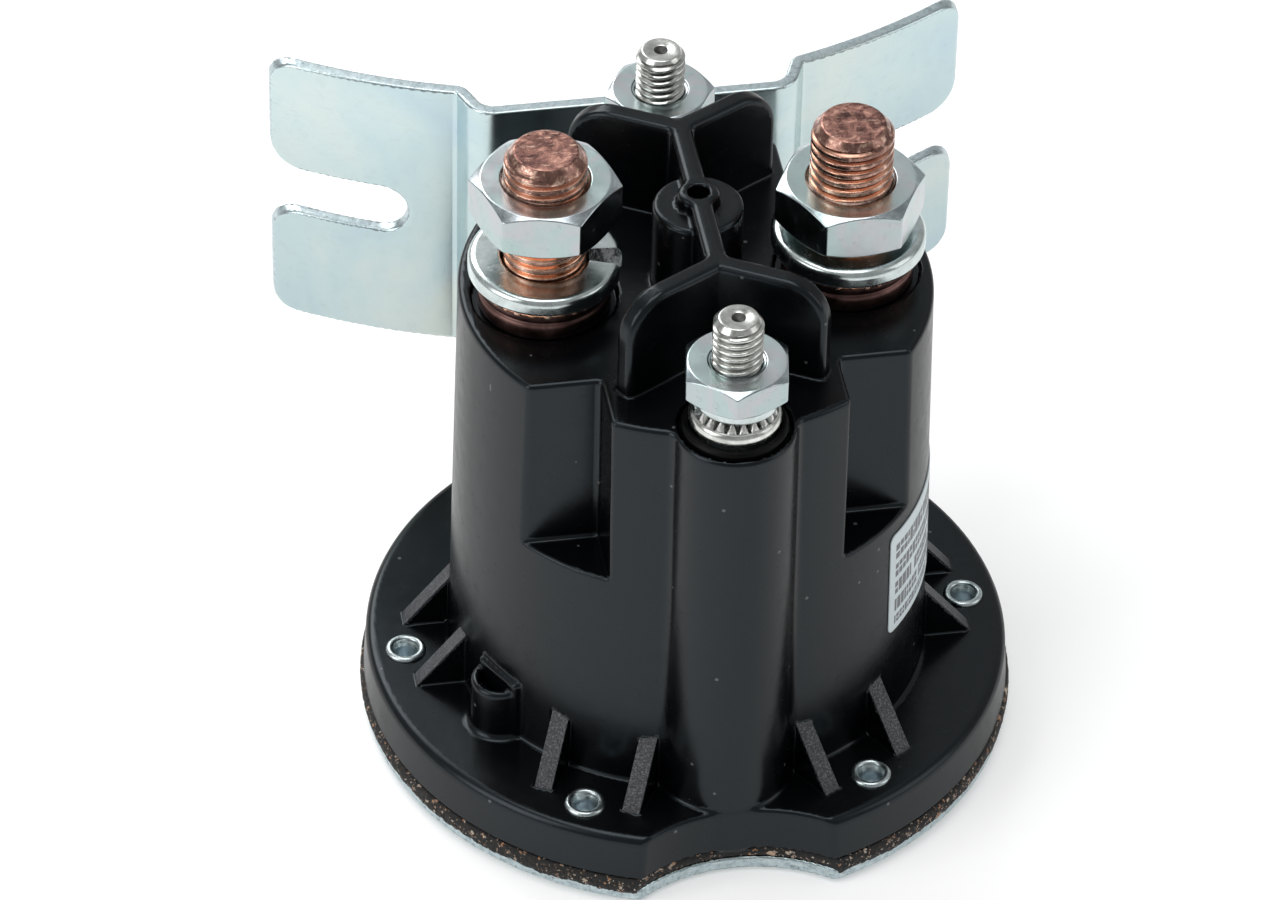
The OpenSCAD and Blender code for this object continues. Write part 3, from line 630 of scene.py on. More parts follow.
def field_object(name, f, lo, hi, h, tris, mats, pick=None):
    """A closed solid bounded by f = 0: meshed, thinned to about `tris` triangles, with normals from the field."""
    V, F = field_mesh(f, lo, hi, h)
    V = onto_field(f, V, 0.6 * h)
    me = mesh_from_arrays(name, V, F)
    o = bpy.data.objects.new(name, me)
    bpy.context.scene.collection.objects.link(o)
    total = 2 * len(F)
    if total > tris:
        dec = o.modifiers.new("thin", "DECIMATE")
        dec.ratio = tris / total
        dec.use_collapse_triangulate = True
        dg = bpy.context.evaluated_depsgraph_get()
        new = bpy.data.meshes.new_from_object(o.evaluated_get(dg))
        o.modifiers.clear()
        o.data = new
        bpy.data.meshes.remove(me)
        me = new
        me.name = name
    n = len(me.vertices)
    P = np.empty(n * 3, np.float32)
    me.vertices.foreach_get("co", P)
    P = onto_field(f, P.reshape(-1, 3).astype(np.float64) / MM, 0.25 * h, 1)
    me.vertices.foreach_set("co", (P * MM).astype(np.float32).ravel())
    me.polygons.foreach_set("use_smooth", np.ones(len(me.polygons), bool))
    N = field_normals(f, P)
    for m in mats:
        me.materials.append(m)
    if pick is not None:
        C = np.empty(len(me.polygons) * 3, np.float32)
        me.polygons.foreach_get("center", C)
        C = C.reshape(-1, 3) / MM
        Nf = np.empty(len(me.polygons) * 3, np.float32)
        me.polygons.foreach_get("normal", Nf)
        me.polygons.foreach_set("material_index", pick(C, Nf.reshape(-1, 3)).astype(np.int32))
    me.update()
    me.normals_split_custom_set_from_vertices([tuple(v) for v in N])
    return o


# ------------------------------------------------------------------ housing

BR = (BODY_FOOT - BODY_TOP_R) / (BODY_TOP - FLANGE_TOP + 0.5)
C29, S29 = math.cos(math.radians(29)), math.sin(math.radians(29))


def housing_field(x, y, z):
    ax, ay = np.abs(x), np.abs(y)
    rho = hyp(x, y)
    up = z - FLANGE_TOP + 0.5
    body = rho - (BODY_FOOT - BR * up)
    bc = hyp(x, ay - COIL_Y)
    boss = bc - (6.3 - 0.0089 * up)
    d = u_round(body, boss, 0.7)
    pocket = i_round(i_round(11.4 - ax, 13.6 - ay, 0.45), 32.65 - z, 0.4)
    d = i_round(d, -pocket, 0.33)
    d = i_round(d, z - BODY_TOP, 0.5)
    # recess round each main stud, counterbore round each coil stud
    mc = hyp(ax - MAIN_X, y)
    d = i_round(d, -np.maximum(mc - 7.0, 51.3 - z), 0.22)
    d = i_round(d, -np.maximum(bc - 5.35, 51.4 - z), 0.15)
    # V barriers, web and hub
    u = ax * C29 + (ay - 10.3) * S29
    v = ax * S29 - (ay - 10.3) * C29
    plan = u_round(np.maximum(ax - 1.05, ay - 10.3), np.abs(v) - 1.05, 0.35)
    plan = u_round(plan, rho - 2.05, 0.35)
    wall = i_round(plan, i_round(u - 11.25, z - 62.8, 4.5), 0.6)
    wall = u_round(wall, i_round(rho - 4.35, z - 61.3, 0.45), 0.3)
    wall = i_round(wall, -np.maximum(rho - 1.03, 60.2 - z), 0.22)
    d = u_round(d, np.maximum(wall, 51.2 - z), 0.25)
    # flange with its notch
    fl = i_round(rho - (32.2 - 0.066 * (z - GASKET_TOP)), z - FLANGE_TOP, 0.85)
    fl = i_round(fl, 16.5 - hyp(x, y + 44.2), 0.45)
    fl = i_round(fl, GASKET_TOP - z, 0.12)
    # turret
    tc = hyp(x + 20.5, y + 11.35)
    tu = i_round(tc - 2.85, z - 13.5, 0.5)
    fl = u_round(fl, np.maximum(tu, 7.0 - z), 0.75)
    d = u_round(d, fl, 0.45)
    lip = i_round(i_round(rho - 24.25, hyp(x + 20.35, y + 11.55) - 2.95, 0.4), z - 14.6, 0.45)
    d = u_round(d, np.maximum(lip, 7.0 - z), 0.3)
    d = i_round(d, -i_round(np.maximum(tc - 2.08, 11.7 - z), 24.25 - rho, 0.2), 0.25)
    # paired gusset ribs
    k = np.round(np.arctan2(y, x) / (math.pi / 3)) * (math.pi / 3)
    ck, sk = np.cos(k), np.sin(k)
    xl, yl = x * ck + y * sk, -x * sk + y * ck
    slope = (xl - 27.7) * 0.7809 + (z - FLANGE_TOP - 0.2) * 0.6247
    rib = i_round(slope, np.abs(np.abs(yl) - 4.55) - 0.95, 0.10)
    rib = np.maximum(rib, 7.0 - z)
    d = u_round(d, rib, 0.03)
    # inside
    cut = np.maximum(rho - 20.45, z - 30.6)
    cut = np.minimum(cut, np.maximum(np.maximum(rho - 20.45, z - 48.6), ay - 11.5))
    cut = np.minimum(cut, np.maximum(np.maximum(rho - 20.45, z - 48.6),
                                     np.maximum(np.abs(ax - 7.45) - 2.15, np.abs(ay - 16.05) - 2.55)))
    cut = np.minimum(cut, np.maximum(bc - 3.8, z - 44.0))
    cut = np.minimum(cut, bc - 2.44)
    cut = np.minimum(cut, np.maximum(mc - 4.0, 45.0 - z))
    cut = np.minimum(cut, np.maximum(rho - 2.9, z - 58.0))
    cut = np.minimum(cut, hyp(xl - RIVET_R, yl) - 1.75)
    return i_round(d, -cut, 0.06)


# ------------------------------------------------------------------ folded bracket

PX, UY, WA = 14.0, 34.0, math.radians(68)
MR1, MR2 = 1.7 + SHEET / 2, 0.4 + SHEET / 2          # wide bend at the panel, tight bend at the ear
PB = PX
C1 = np.array([PB, UY + SHEET / 2 + MR1])
WN, WD = np.array([math.sin(WA), -math.cos(WA)]), np.array([math.cos(WA), math.sin(WA)])
ECY, EAR_R = 35.4 + 64.8, 64.8
_q = C1 + (MR1 + MR2) * WN - np.array([0, ECY])
WL = -_q.dot(WD) - math.sqrt(_q.dot(WD) ** 2 - _q.dot(_q) + (EAR_R - SHEET / 2 + MR2) ** 2)
P1 = C1 + MR1 * WN
C2 = C1 + (MR1 + MR2) * WN + WL * WD
AE = math.atan2(ECY - C2[1], -C2[0])


def bracket_plan(ax, y):
    """Distance in plan to the sheet's middle surface."""
    d = hyp(np.maximum(ax - PB, 0), y - UY - SHEET / 2)
    far = 1e3
    a1 = np.arctan2(y - C1[1], ax - C1[0])
    d = np.minimum(d, np.where((a1 > -math.pi / 2 - 0.01) & (a1 < WA - math.pi / 2 + 0.01), np.abs(hyp(ax - C1[0], y - C1[1]) - MR1), far))
    t = (ax - P1[0]) * WD[0] + (y - P1[1]) * WD[1]
    s = (ax - P1[0]) * WN[0] + (y - P1[1]) * WN[1]
    d = np.minimum(d, hyp(s, t - np.clip(t, 0, WL)))
    a2 = np.arctan2(y - C2[1], ax - C2[0])
    d = np.minimum(d, np.where((a2 < math.pi / 2 + WA + 0.01) & (a2 > AE - 0.01), np.abs(hyp(ax - C2[0], y - C2[1]) - MR2), far))
    a3 = np.arctan2(y - ECY, ax)
    return np.minimum(d, np.where(a3 > AE - math.pi - 0.001, np.abs(hyp(ax, y - ECY) - EAR_R + SHEET / 2), far))


def bracket_field(x, y, z):
    ax = np.abs(x)
    rho = hyp(x, y)
    plan = bracket_plan(ax, y)
    up = np.where(z >= 3.0, plan, hyp(plan, 3.0 - z))
    yb, zb = y - 32.4, z - 3.0
    bend = np.where((yb >= 0) & (zb <= 0), np.abs(hyp(yb, zb) - 2.3), 1e3)
    flat = hyp(np.maximum(yb, 0), z - SHEET / 2)
    thick = np.minimum(np.minimum(up, bend), flat) - SHEET / 2
    # front outline of the upright, and plan outline of the plate
    ear = np.maximum(i_round(ax - 35.35, z - 47.3, 2.6), i_round(ax - 35.35, 15.3 - z, 2.2))
    slot = np.where(ax > 25.025, np.abs(z - 31.3), hyp(ax - 25.025, z - 31.3)) - 2.775
    ear = i_round(ear, -slot, 2.9)
    neck = np.maximum(ax - PX, z - 20)
    upo = u_round(ear, neck, 0.8)
    low = u_round(rho - 32.3, np.maximum(ax - PX, -y), 0.8)
    out = np.where(z >= 3.0, upo, low)
    d = i_round(thick, out, 0.3)
    d = i_round(d, 16.5 - hyp(x, y + 44.2), 0.2)
    k = np.round(np.arctan2(y, x) / (math.pi / 3)) * (math.pi / 3)
    rc = hyp(x * np.cos(k) + y * np.sin(k) - RIVET_R, -x * np.sin(k) + y * np.cos(k))
    hole = np.minimum(rc - 1.75, np.maximum(rc - 2.35, z - 0.45))
    return i_round(d, -np.maximum(hole, z - 2.0), 0.05)


def bracket_pick(C, N):
    """1 for the sheared edges, 0 for the rolled faces."""
    x, y, z = C[:, 0], C[:, 1], C[:, 2]
    ax = np.abs(x)
    plan = bracket_plan(ax, y)
    up = np.where(z >= 3.0, plan, hyp(plan, 3.0 - z))
    bend = np.where((y >= 32.4) & (z <= 3), np.abs(hyp(y - 32.4, z - 3.0) - 2.3), 1e3)
    flat = hyp(np.maximum(y - 32.4, 0), z - SHEET / 2)
    return (np.minimum(np.minimum(up, bend), flat) < SHEET / 2 - 0.14).astype(int)


# ------------------------------------------------------------------ turned and swept pieces

def fillet_loop(P, R, n=3, sup=0.05, closed=True):
    """Rounds the corners of a polyline in the (r, z) plane. Every corner gives the same number of points on each call."""
    out = []
    m = len(P)
    for i in range(m):
        p = P[i]
        if R[i] <= 0 or (not closed and i in (0, m - 1)):
            out.append(p)
            continue
        a, b = P[i - 1], P[(i + 1) % m]
        la, lb = math.dist(a, p), math.dist(b, p)
        ua = ((a[0] - p[0]) / la, (a[1] - p[1]) / la)
        ub = ((b[0] - p[0]) / lb, (b[1] - p[1]) / lb)
        c = max(-0.9999, min(0.9999, ua[0] * ub[0] + ua[1] * ub[1]))
        turn = math.pi - math.acos(c)
        k = math.tan(turn / 2)
        tr = min(R[i] * k, 0.40 * la, 0.40 * lb)
        r = tr / k
        bx, bz = ua[0] + ub[0], ua[1] + ub[1]
        bl = math.hypot(bx, bz)
        dc = math.hypot(r, tr)
        cx, cz = p[0] + bx / bl * dc, p[1] + bz / bl * dc
        sa, sb = min(tr + sup, 0.46 * la), min(tr + sup, 0.46 * lb)
        out.append((p[0] + ua[0] * sa, p[1] + ua[1] * sa))
        a0 = math.atan2(p[1] + ua[1] * tr - cz, p[0] + ua[0] * tr - cx)
        a1 = math.atan2(p[1] + ub[1] * tr - cz, p[0] + ub[0] * tr - cx)
        da = (a1 - a0 + math.pi) % (2 * math.pi) - math.pi
        for j in range(n + 1):
            t = a0 + da * j / n
            out.append((cx + r * math.cos(t), cz + r * math.sin(t)))
        out.append((p[0] + ub[0] * sb, p[1] + ub[1] * sb))
    return out


def loop_solid(loops, angles, cx=0.0, cy=0.0, wrap=True):
    """A ring solid: one closed (r, z) loop for each angle."""
    m = len(loops[0])
    verts = [(cx + r * math.cos(t), cy + r * math.sin(t), z) for L, t in zip(loops, angles) for r, z in L]
    n = len(loops)
    faces = []
    for i in range(n if wrap else n - 1):
        for j in range(m):
            a, b = i * m + j, i * m + (j + 1) % m
            c, d = ((i + 1) % n) * m + (j + 1) % m, ((i + 1) % n) * m + j
            faces.append((a, b, c, d))
    if not wrap:
        faces.append(tuple(range(m)))
        faces.append(tuple(range((n - 1) * m, n * m))[::-1])
    return verts, faces


def hex_radius(t, af, rc=0.3):
    a = af / 2
    phi = abs((t + math.pi / 6) % (math.pi / 3) - math.pi / 6)
    d = (a - rc) / math.cos(math.pi / 6)
    if phi < math.atan2(rc * 0.5, d + rc * math.cos(math.pi / 6)):
        return d * math.cos(phi) + math.sqrt(rc * rc - (d * math.sin(phi)) ** 2)
    return a / math.cos(math.pi / 6 - phi)


def hex_nut(name, node, af, t, bore, minor, turn, cx, cy, z0, pitch):
    """Hexagon nut with 30 degree chamfers, rounded edges, countersinks and a threaded bore."""
    turn = math.radians(turn)
    ang = []
    for k in range(6):
        c = k * math.pi / 3
        ang += [c + math.radians(v) for v in (-30, -26, -22, -18, -14, -10, -7, -5, -4, -3, -2, -1, 0, 1, 2, 3, 4, 5, 7, 10, 14, 18, 22, 26)]
    rf = af / 2 * 0.972
    tn = math.tan(math.radians(30))
    rows = 30
    loops = []
    for a in ang:
        R = hex_radius(a, af)
        d = (R - rf) * tn
        P = [(bore + 0.28, t), (rf, t), (R, t - d), (R, d), (rf, 0), (bore + 0.28, 0)]
        L = fillet_loop(P, [0.1, 0.22, 0.16, 0.16, 0.22, 0.1], 3, 0.06)
        # bore surface from the bottom to the top, with the thread's grooves
        c = 0.55
        for j in range(1, rows):
            z = t * j / rows
            s = (z / pitch - (a + turn) / (2 * math.pi)) % 1.0
            depth = min(1.0, max(0.0, (abs(s - 0.5) * 2 - 0.14) / 0.74))
            r = minor + (bore - minor) * depth
            r = max(r, bore + 0.28 - min(z, t - z) / c * 0.75)
            L.append((r, z))
        loops.append([(r, z0 + z) for r, z in L])
    v, f = loop_solid(loops, [a + turn for a in ang], cx, cy)
    o = new_obj(name, v, f, NUT, 180)
    return place(o, node)


def spring_washer(name, node, ri, ro, t, rise, a0, gap, cx, cy, z0, slant=10.0, top_r=0.42):
    """Split lock washer: rounded bar, ends cut at a slant."""
    n = 150
    P = [(ri, 0), (ro, 0), (ro, t), (ri, t)]
    L = fillet_loop(P, [0.16, 0.36, top_r, 0.2], 6, 0.06)
    verts, m = [], len(L)
    sl = math.radians(slant)
    for i in range(n + 1):
        f = i / n
        for r, z in L:
            a = math.radians(a0 + gap / 2 + f * (360 - gap)) + (z / t - 0.5) * sl
            zz = z0 + z + (1 - f) * rise
            verts.append((cx + r * math.cos(a), cy + r * math.sin(a), zz))
    faces = []
    for i in range(n):
        for j in range(m):
            faces.append((i * m + j, i * m + (j + 1) % m, (i + 1) * m + (j + 1) % m, (i + 1) * m + j))
    ends = []
    for base, sign in ((0, 1), (n * m, -1)):
        # end faces: a rough grid would be lost at this size, so a dished fan with a broken surface
        c = len(verts)
        ring = [verts[base + j] for j in range(m)]
        mid = np.mean(np.array(ring), 0)
        tang = np.array([-(mid[1] - cy), mid[0] - cx, 0.0])
        tang /= np.linalg.norm(tang)
        inner = []
        for j in range(m):
            p = np.array(ring[j]) * 0.55 + mid * 0.45
            q = noise.noise(Vector((p[0] * 2.3, p[1] * 2.3, p[2] * 2.9 + base)))
            p = p + tang * sign * (0.26 * q + 0.04)
            inner.append(len(verts))
            verts.append(tuple(p))
        q = mid + tang * sign * 0.07
        verts.append(tuple(q))
        cc = len(verts) - 1
        for j in range(m):
            k = (j + 1) % m
            ends.append((base + j, base + k, inner[k], inner[j]))
            ends.append((inner[j], inner[k], cc))
    k0 = len(faces)
    o = new_obj(name, verts, faces + ends, WASHER, 180)
    me = o.data
    # end faces take the torn finish with its painted highlights
    me.materials.append(BROKEN_PAINTED_HIGHLIGHTS)
    for p in list(me.polygons)[k0:]:
        p.material_index = 1
    bm = bmesh.new()
    bm.from_mesh(me)
    for e in bm.edges:
        if len(e.link_faces) == 2 and e.link_faces[0].material_index != e.link_faces[1].material_index:
            e.smooth = False
    bm.to_mesh(me)
    bm.free()
    return place(o, node)


def thread_r(z, th, pitch, rmaj, depth, crest=0.20, root=0.12):
    """Radius of a right-hand 60 degree thread with worn crests."""
    s = (z / pitch - th / (2 * math.pi)) % 1.0
    u = (abs(s - 0.5) * 2 - crest) / (1 - crest - root)
    u = min(1.0, max(0.0, u))
    u = u * u * (3 - 2 * u) * 0.35 + u * 0.65
    return rmaj - depth * u


def threaded_stud(name, node, cx, cy, z0, z1, rmaj, depth, pitch, r_end, ch, n, below, above, mats, pick=None, phase=0.0, crest=0.20, root=0.12):
    """below: (r, z) profile from the axis up to the thread's start; above: (r, z) from the end of the chamfer to the axis."""
    m = 14                                     # rows in a pitch
    rows = int(math.ceil((z1 - z0) / pitch + 1)) * m + m
    verts, faces = [], []
    th = [2 * math.pi * i / n for i in range(n)]
    for r, z in below:
        for i in range(n):
            verts.append((cx + r * math.cos(th[i]), cy + r * math.sin(th[i]), z))
    nb = len(below)
    for k in range(nb - 1):
        for i in range(n):
            a, b = k * n + i, k * n + (i + 1) % n
            faces.append((a, b, b + n, a + n))
    faces.append(tuple(range(n))[::-1])
    base = len(verts)
    k1 = (r_end - rmaj) / ch
    for j in range(rows + 1):
        for i in range(n):
            z = z0 - pitch + (j / m) * pitch + pitch * i / n
            z = min(z1, max(z0, z))
            r = thread_r(z, th[i] + phase, pitch, rmaj, depth, crest, root)
            top = r_end + (z1 - z) * (rmaj - r_end) / ch
            r = min(r, top)
            # small dents on the crests
            q = noise.noise(Vector((r * math.cos(th[i]) * 1.3 + cx, r * math.sin(th[i]) * 1.3 + cy, z * 2.2)))
            r -= 0.035 * max(0.0, q - 0.25) * (r > rmaj - 0.2)
            verts.append((cx + r * math.cos(th[i]), cy + r * math.sin(th[i]), z))
    for j in range(rows):
        for i in range(n):
            a = base + j * n + i
            if i < n - 1:
                faces.append((a, a + 1, a + 1 + n, a + n))
            elif j + m + 1 <= rows:
                faces.append((a, base + (j + m) * n, base + (j + m + 1) * n, a + n))
    # last lathe ring to the thread's first ring
    if nb:
        for i in range(n):
            a, b = (nb - 1) * n + i, (nb - 1) * n + (i + 1) % n
            faces.append((a, b, base + (i + 1) % n, base + i))
    t0 = base + rows * n
    cur = t0
    for r, z in above:
        s = len(verts)
        for i in range(n):
            verts.append((cx + r * math.cos(th[i]), cy + r * math.sin(th[i]), z))
        for i in range(n):
            a, b = cur + i, cur + (i + 1) % n
            faces.append((a, b, s + (i + 1) % n, s + i))
        cur = s
    faces.append(tuple(range(cur, cur + n)))
    me = bpy.data.meshes.new(name)
    me.from_pydata([tuple(c * MM for c in v) for v in verts], [], faces)
    bm = bmesh.new()
    bm.from_mesh(me)
    bmesh.ops.remove_doubles(bm, verts=bm.verts, dist=2e-7)
    bmesh.ops.dissolve_degenerate(bm, edges=bm.edges, dist=1e-7)
    bmesh.ops.recalc_face_normals(bm, faces=bm.faces)
    bm.to_mesh(me)
    bm.free()
    o = bpy.data.objects.new(name, me)
    bpy.context.scene.collection.objects.link(o)
    for mt in mats:
        me.materials.append(mt)
    if pick:
        for p in me.polygons:
            c = p.center / MM
            p.material_index = pick(math.hypot(c.x - cx, c.y - cy), c.z, p.normal.z)
    shade(o, 50)
    return place(o, node)


housing = field_object("housing_moulding", housing_field, (-33.3, -33.3, 2.1), (33.3, 33.3, 63.6),
                       0.34, 185000, [NYLON])
place(housing, "housing")

# sloping faces of the twelve gussets: thin skins with a finer, duller surface
parts = []
for k in range(6):
    ck, sk = math.cos(math.pi / 3 * k), math.sin(math.pi / 3 * k)
    for mid in (-4.55, 4.55):
        pts, faces = [], []
        hw = 0.86
        for off in (0.028, -0.25):
            for s in (-0.16, 7.5):
                for w in (-hw, hw):
                    xl, zl = 27.7 - 0.6247 * s + 0.7809 * off, 7.9 + 0.7809 * s + 0.6247 * off
                    yl = mid + w
                    pts.append((xl * ck - yl * sk, xl * sk + yl * ck, zl))
        faces = [(0, 1, 3, 2), (4, 6, 7, 5), (0, 4, 5, 1), (1, 5, 7, 3), (3, 7, 6, 2), (2, 6, 4, 0)]
        parts.append((pts, faces))
v, f = join(parts)
place(new_obj("gusset_skins", v, f, GRAIN, 30), "housing")

bracket = field_object("bracket_sheet", bracket_field, (-36.2, -32.9, -0.6), (36.2, 48.4, 48.0),
                       0.36, 90000, [SHEETM, EDGE], bracket_pick)
place(bracket, "mounting_bracket")

# main studs
MZ = 54.9


def stud_below(r_thread):
    p = [(0.2, 44.6), (5.3, 44.6), (5.6, 44.9), (5.6, 48.6), (3.97, 48.62), (3.97, 51.3), (6.1, 51.3), (6.28, 51.42), (6.36, 51.6),
         (6.38, 52.2), (6.38, 52.7), (6.33, 52.92), (6.22, 53.05), (6.08, 53.1), (6.04, 53.18), (6.08, 53.26), (6.18, 53.30), (6.26, 53.42),
         (6.28, 53.7), (6.28, 54.0), (6.24, 54.2), (6.14, 54.38), (5.95, 54.5), (5.2, 54.55), (4.4, 54.55)]
    return p


def stud_mat(r, z, nz):
    if z > MAIN_TOP - 1.05:
        return 1 if nz > 0.9 else 3
    if z < MZ - 0.3 and r > 3.98:
        return 2
    # 4: thread roots above the nut, dark as painted shade in the grooves
    if 55.0 < z and r < 3.58:
        return 4
    return 3 if r > 3.93 else 0


for side, nm in ((-1, "left"), (1, "right")):
    ph = 0.0 if side > 0 else 1.9
    top = [(2.95, MAIN_TOP + 0.0), (2.9, MAIN_TOP), (1.6, MAIN_TOP - 0.03), (0.3, MAIN_TOP - 0.02)]
    threaded_stud("main_stud_" + nm + "_thread", "main_stud_" + nm, side * MAIN_X, 0, 54.0, MAIN_TOP - 0.06, 3.97, 0.46, 1.058,
                  3.12, 1.05, 96, stud_below(3.97), top, [COPPER, COPPER_END, COPPER_D, CREST, COPPER_ROOT_SHADE], stud_mat, ph, 0.40, 0.04)

# teeth round the collars' top edge: clean copper tips in a pale, half-metallic finish that paints small glints
for side, nm in ((-1, "left"), (1, "right")):
    n = 504
    loops, ang = [], []
    for i in range(n):
        t = 2 * math.pi * i / n
        w = max(0.0, math.sin(t * 29 + 0.4 + 0.7 * math.sin(t * 5))) ** 0.6 * max(0.0, 0.70 + 0.55 * math.sin(t * 4 + 1) * math.sin(t * 9 + side))
        loops.append([(5.6, 53.9), (6.20, 53.95), (6.27 + 0.12 * w, 54.05), (6.27 + 0.16 * w, 54.2), (6.22 + 0.15 * w, 54.36), (6.12 + 0.08 * w, 54.52),
                      (5.95, 54.64), (5.6, 54.66)])
        ang.append(t)
    v, f = loop_solid(loops, ang, side * MAIN_X, 0)
    o = new_obj("main_collar_" + nm + "_serration", v, f, COPPER, 40)
    o.data.materials.append(TIP_GLINT)
    # tooth tips take the painted-glint copper
    for q in o.data.polygons:
        c = q.center / MM
        if math.hypot(c.x - side * MAIN_X, c.y) > 6.345:
            q.material_index = 1
    place(o, "main_stud_" + nm)

# coil studs
for sg, nm, top_z, nut_z in ((-1, "front", F_TOP, F_NUT), (1, "rear", B_TOP, B_NUT)):
    cy = sg * COIL_Y
    below = [(0.2, 41.4), (3.2, 41.4), (3.4, 41.6), (3.4, 44.0), (2.41, 44.02), (2.41, 51.4), (4.0, 51.4), (4.02, 51.6), (4.02, 52.45), (4.16, 52.58),
             (4.32, 52.76), (4.40, 53.0), (4.42, 53.25), (4.38, 53.52), (4.30, 53.73), (4.18, 53.9), (4.06, 53.97), (3.98, 54.0), (3.0, 54.0), (2.6, 54.0)]
    dim = [(1.86, top_z - 0.02), (1.80, top_z), (1.70, top_z + 0.0), (0.74, top_z), (0.68, top_z - 0.04), (0.50, top_z - 0.22), (0.24, top_z - 0.36), (0.06, top_z - 0.42)]
    # material 2: the thread roots, painted dark as shade in the grooves
    threaded_stud("coil_stud_" + nm + "_thread", "coil_stud_" + nm, 0, cy, 53.6, top_z - 0.05, 2.41, 0.42, 0.794,
                  1.90, 0.62, 72, below, dim, [TIN, TIN_DARK, TIN_ROOT_SHADE],
                  lambda r, z, nz, tz=top_z: 1 if (z > tz - 0.6 and r < 0.70) else (2 if 54.1 < z < tz - 0.5 and r < 2.13 else 0), 0.7 if sg < 0 else 2.1)
    # radial serrations on top of the collar
    n, teeth = 480, 21
    loops, ang = [], []
    for i in range(n):
        t = 2 * math.pi * i / n
        s = (t * teeth / (2 * math.pi) + 0.15) % 1.0
        w = abs(s - 0.5) * 2
        w = min(1.0, max(0.0, (w - 0.12) / 0.7))
        up = (1.15 * (1 - ((math.degrees(t) + 162) % 360) / 354) if sg < 0 else 0.0)
        h = (0.34 + min(0.50, max(0.0, up - 0.12))) * w + 0.10 * min(1.0, max(0.0, up))
        loops.append([(2.7, 53.8), (4.12, 53.8), (4.16, 53.98), (4.06, 54.05), (3.98, 54.0), (3.86, 53.90 + h * 0.55),
                      (3.62, 53.90 + h), (2.9, 53.92 + h), (2.7, 53.9)])
        ang.append(t)
    v, f = loop_solid(loops, ang, 0, cy)
    place(new_obj("coil_collar_" + nm + "_serration", v, f, TIN_SER, 35), "coil_stud_" + nm)
    # nut and washer
spring_washer("coil_washer_front", "coil_lock_washer_front", 2.6, 4.15, 1.2, 1.15, -165, 6, 0, -COIL_Y, COIL_SEAT)
spring_washer("coil_washer_rear", "coil_lock_washer_rear", 2.6, 4.2, 1.15, 0.03, 110, 6, 0, COIL_Y, COIL_SEAT)
hex_nut("coil_nut_front_hex", "coil_nut_front", 9.525, 3.15, 2.47, 2.05, 80.4, 0, -COIL_Y, F_NUT, 0.794)
hex_nut("coil_nut_rear_hex", "coil_nut_rear", 9.525, 3.15, 2.47, 2.05, 0.0, 0, COIL_Y, B_NUT, 0.794)
spring_washer("main_washer_left", "main_lock_washer_left", 4.25, 7.35, 1.85, 0.45, -15, 16, -MAIN_X, 0, SEAT, 6.0, 0.85)
spring_washer("main_washer_right", "main_lock_washer_right", 4.25, 7.45, 1.95, 0.22, 100, 4, MAIN_X, 0, SEAT, 9.0, 0.85)
hex_nut("main_nut_left_hex", "main_nut_left", 12.7, 4.76, 4.03, 3.45, -11.7, -MAIN_X, 0, L_NUT, 1.058)
hex_nut("main_nut_right_hex", "main_nut_right", 12.7, 4.76, 4.03, 3.45, 0.8, MAIN_X, 0, R_NUT, 1.058)

# seal rings: two loops on one object
parts = []
for sg in (-1, 1):
    P = [(4.43, 51.42), (5.1, 51.42), (5.1, 52.15), (4.8, 52.46), (4.43, 52.46)]
    L = fillet_loop(P, [0.05, 0.1, 0.35, 0.25, 0.06], 4, 0.05)
    ang = [2 * math.pi * i / 128 for i in range(128)]
    parts.append(loop_solid([L] * 128, ang, 0, sg * COIL_Y))
v, f = join(parts)
place(new_obj("seal_rings", v, f, SEAL, 180), "coil_stud_seals")

# rivets
parts = []
for k in range(6):
    a = math.radians(60 * k)
    cx, cy = RIVET_R * math.cos(a), RIVET_R * math.sin(a)
    prof = [(0.05, 5.9), (0.70, 5.9), (0.84, 5.97), (0.90, 6.1), (0.92, 6.5), (0.94, 6.9), (0.98, 7.15), (1.05, 7.36), (1.13, 7.54), (1.21, 7.70), (1.29, 7.83)]
    prof += [(1.62 + 0.385 * math.cos(math.radians(t)), 7.72 + 0.38 * math.sin(math.radians(t))) for t in (146, 134, 122, 110, 98, 84, 66, 44, 20, 0, -12)]
    prof += [(1.95, 7.70), (1.7, 7.69), (1.7, 4.0), (1.7, 0.45), (2.25, 0.42), (2.3, 0.36), (2.3, 0.05), (2.25, 0.0), (0.05, 0.0)]
    n = 56
    verts = []
    for j, (r, z) in enumerate(prof):
        for i in range(n):
            t = 2 * math.pi * i / n
            q = noise.noise(Vector((cx + 1.1 * math.cos(t), cy + 1.1 * math.sin(t), 3.0 * k)))
            rr = r + (0.05 * q if 9 < j < 21 else 0)
            verts.append((cx + rr * math.cos(t), cy + rr * math.sin(t), z + (0.04 * q if 10 < j < 20 else 0)))
    faces = []
    for j in range(len(prof) - 1):
        for i in range(n):
            faces.append((j * n + i, j * n + (i + 1) % n, (j + 1) * n + (i + 1) % n, (j + 1) * n + i))
    faces.append(tuple(range(n))[::-1])
    faces.append(tuple(range((len(prof) - 1) * n, len(prof) * n)))
    parts.append((verts, faces))
v, f = join(parts)
rv = new_obj("rim_rivet_set", v, f, RIVET, 60)
rv.data.materials.append(RIVET_IN)
for p in rv.data.polygons:
    c = p.center / MM
    k = round(math.atan2(c.y, c.x) / (math.pi / 3)) * (math.pi / 3)
    r = math.hypot(c.x * math.cos(k) + c.y * math.sin(k) - RIVET_R, -c.x * math.sin(k) + c.y * math.cos(k))
    if r < 1.06 and c.z > 4.5 and c.z < 7.4:
        p.material_index = 1
place(rv, "rim_rivets")

# gasket: squeezed out past the flange, its torn edge sagging over the plate's rim
n = 1500
ang, loops = [], []


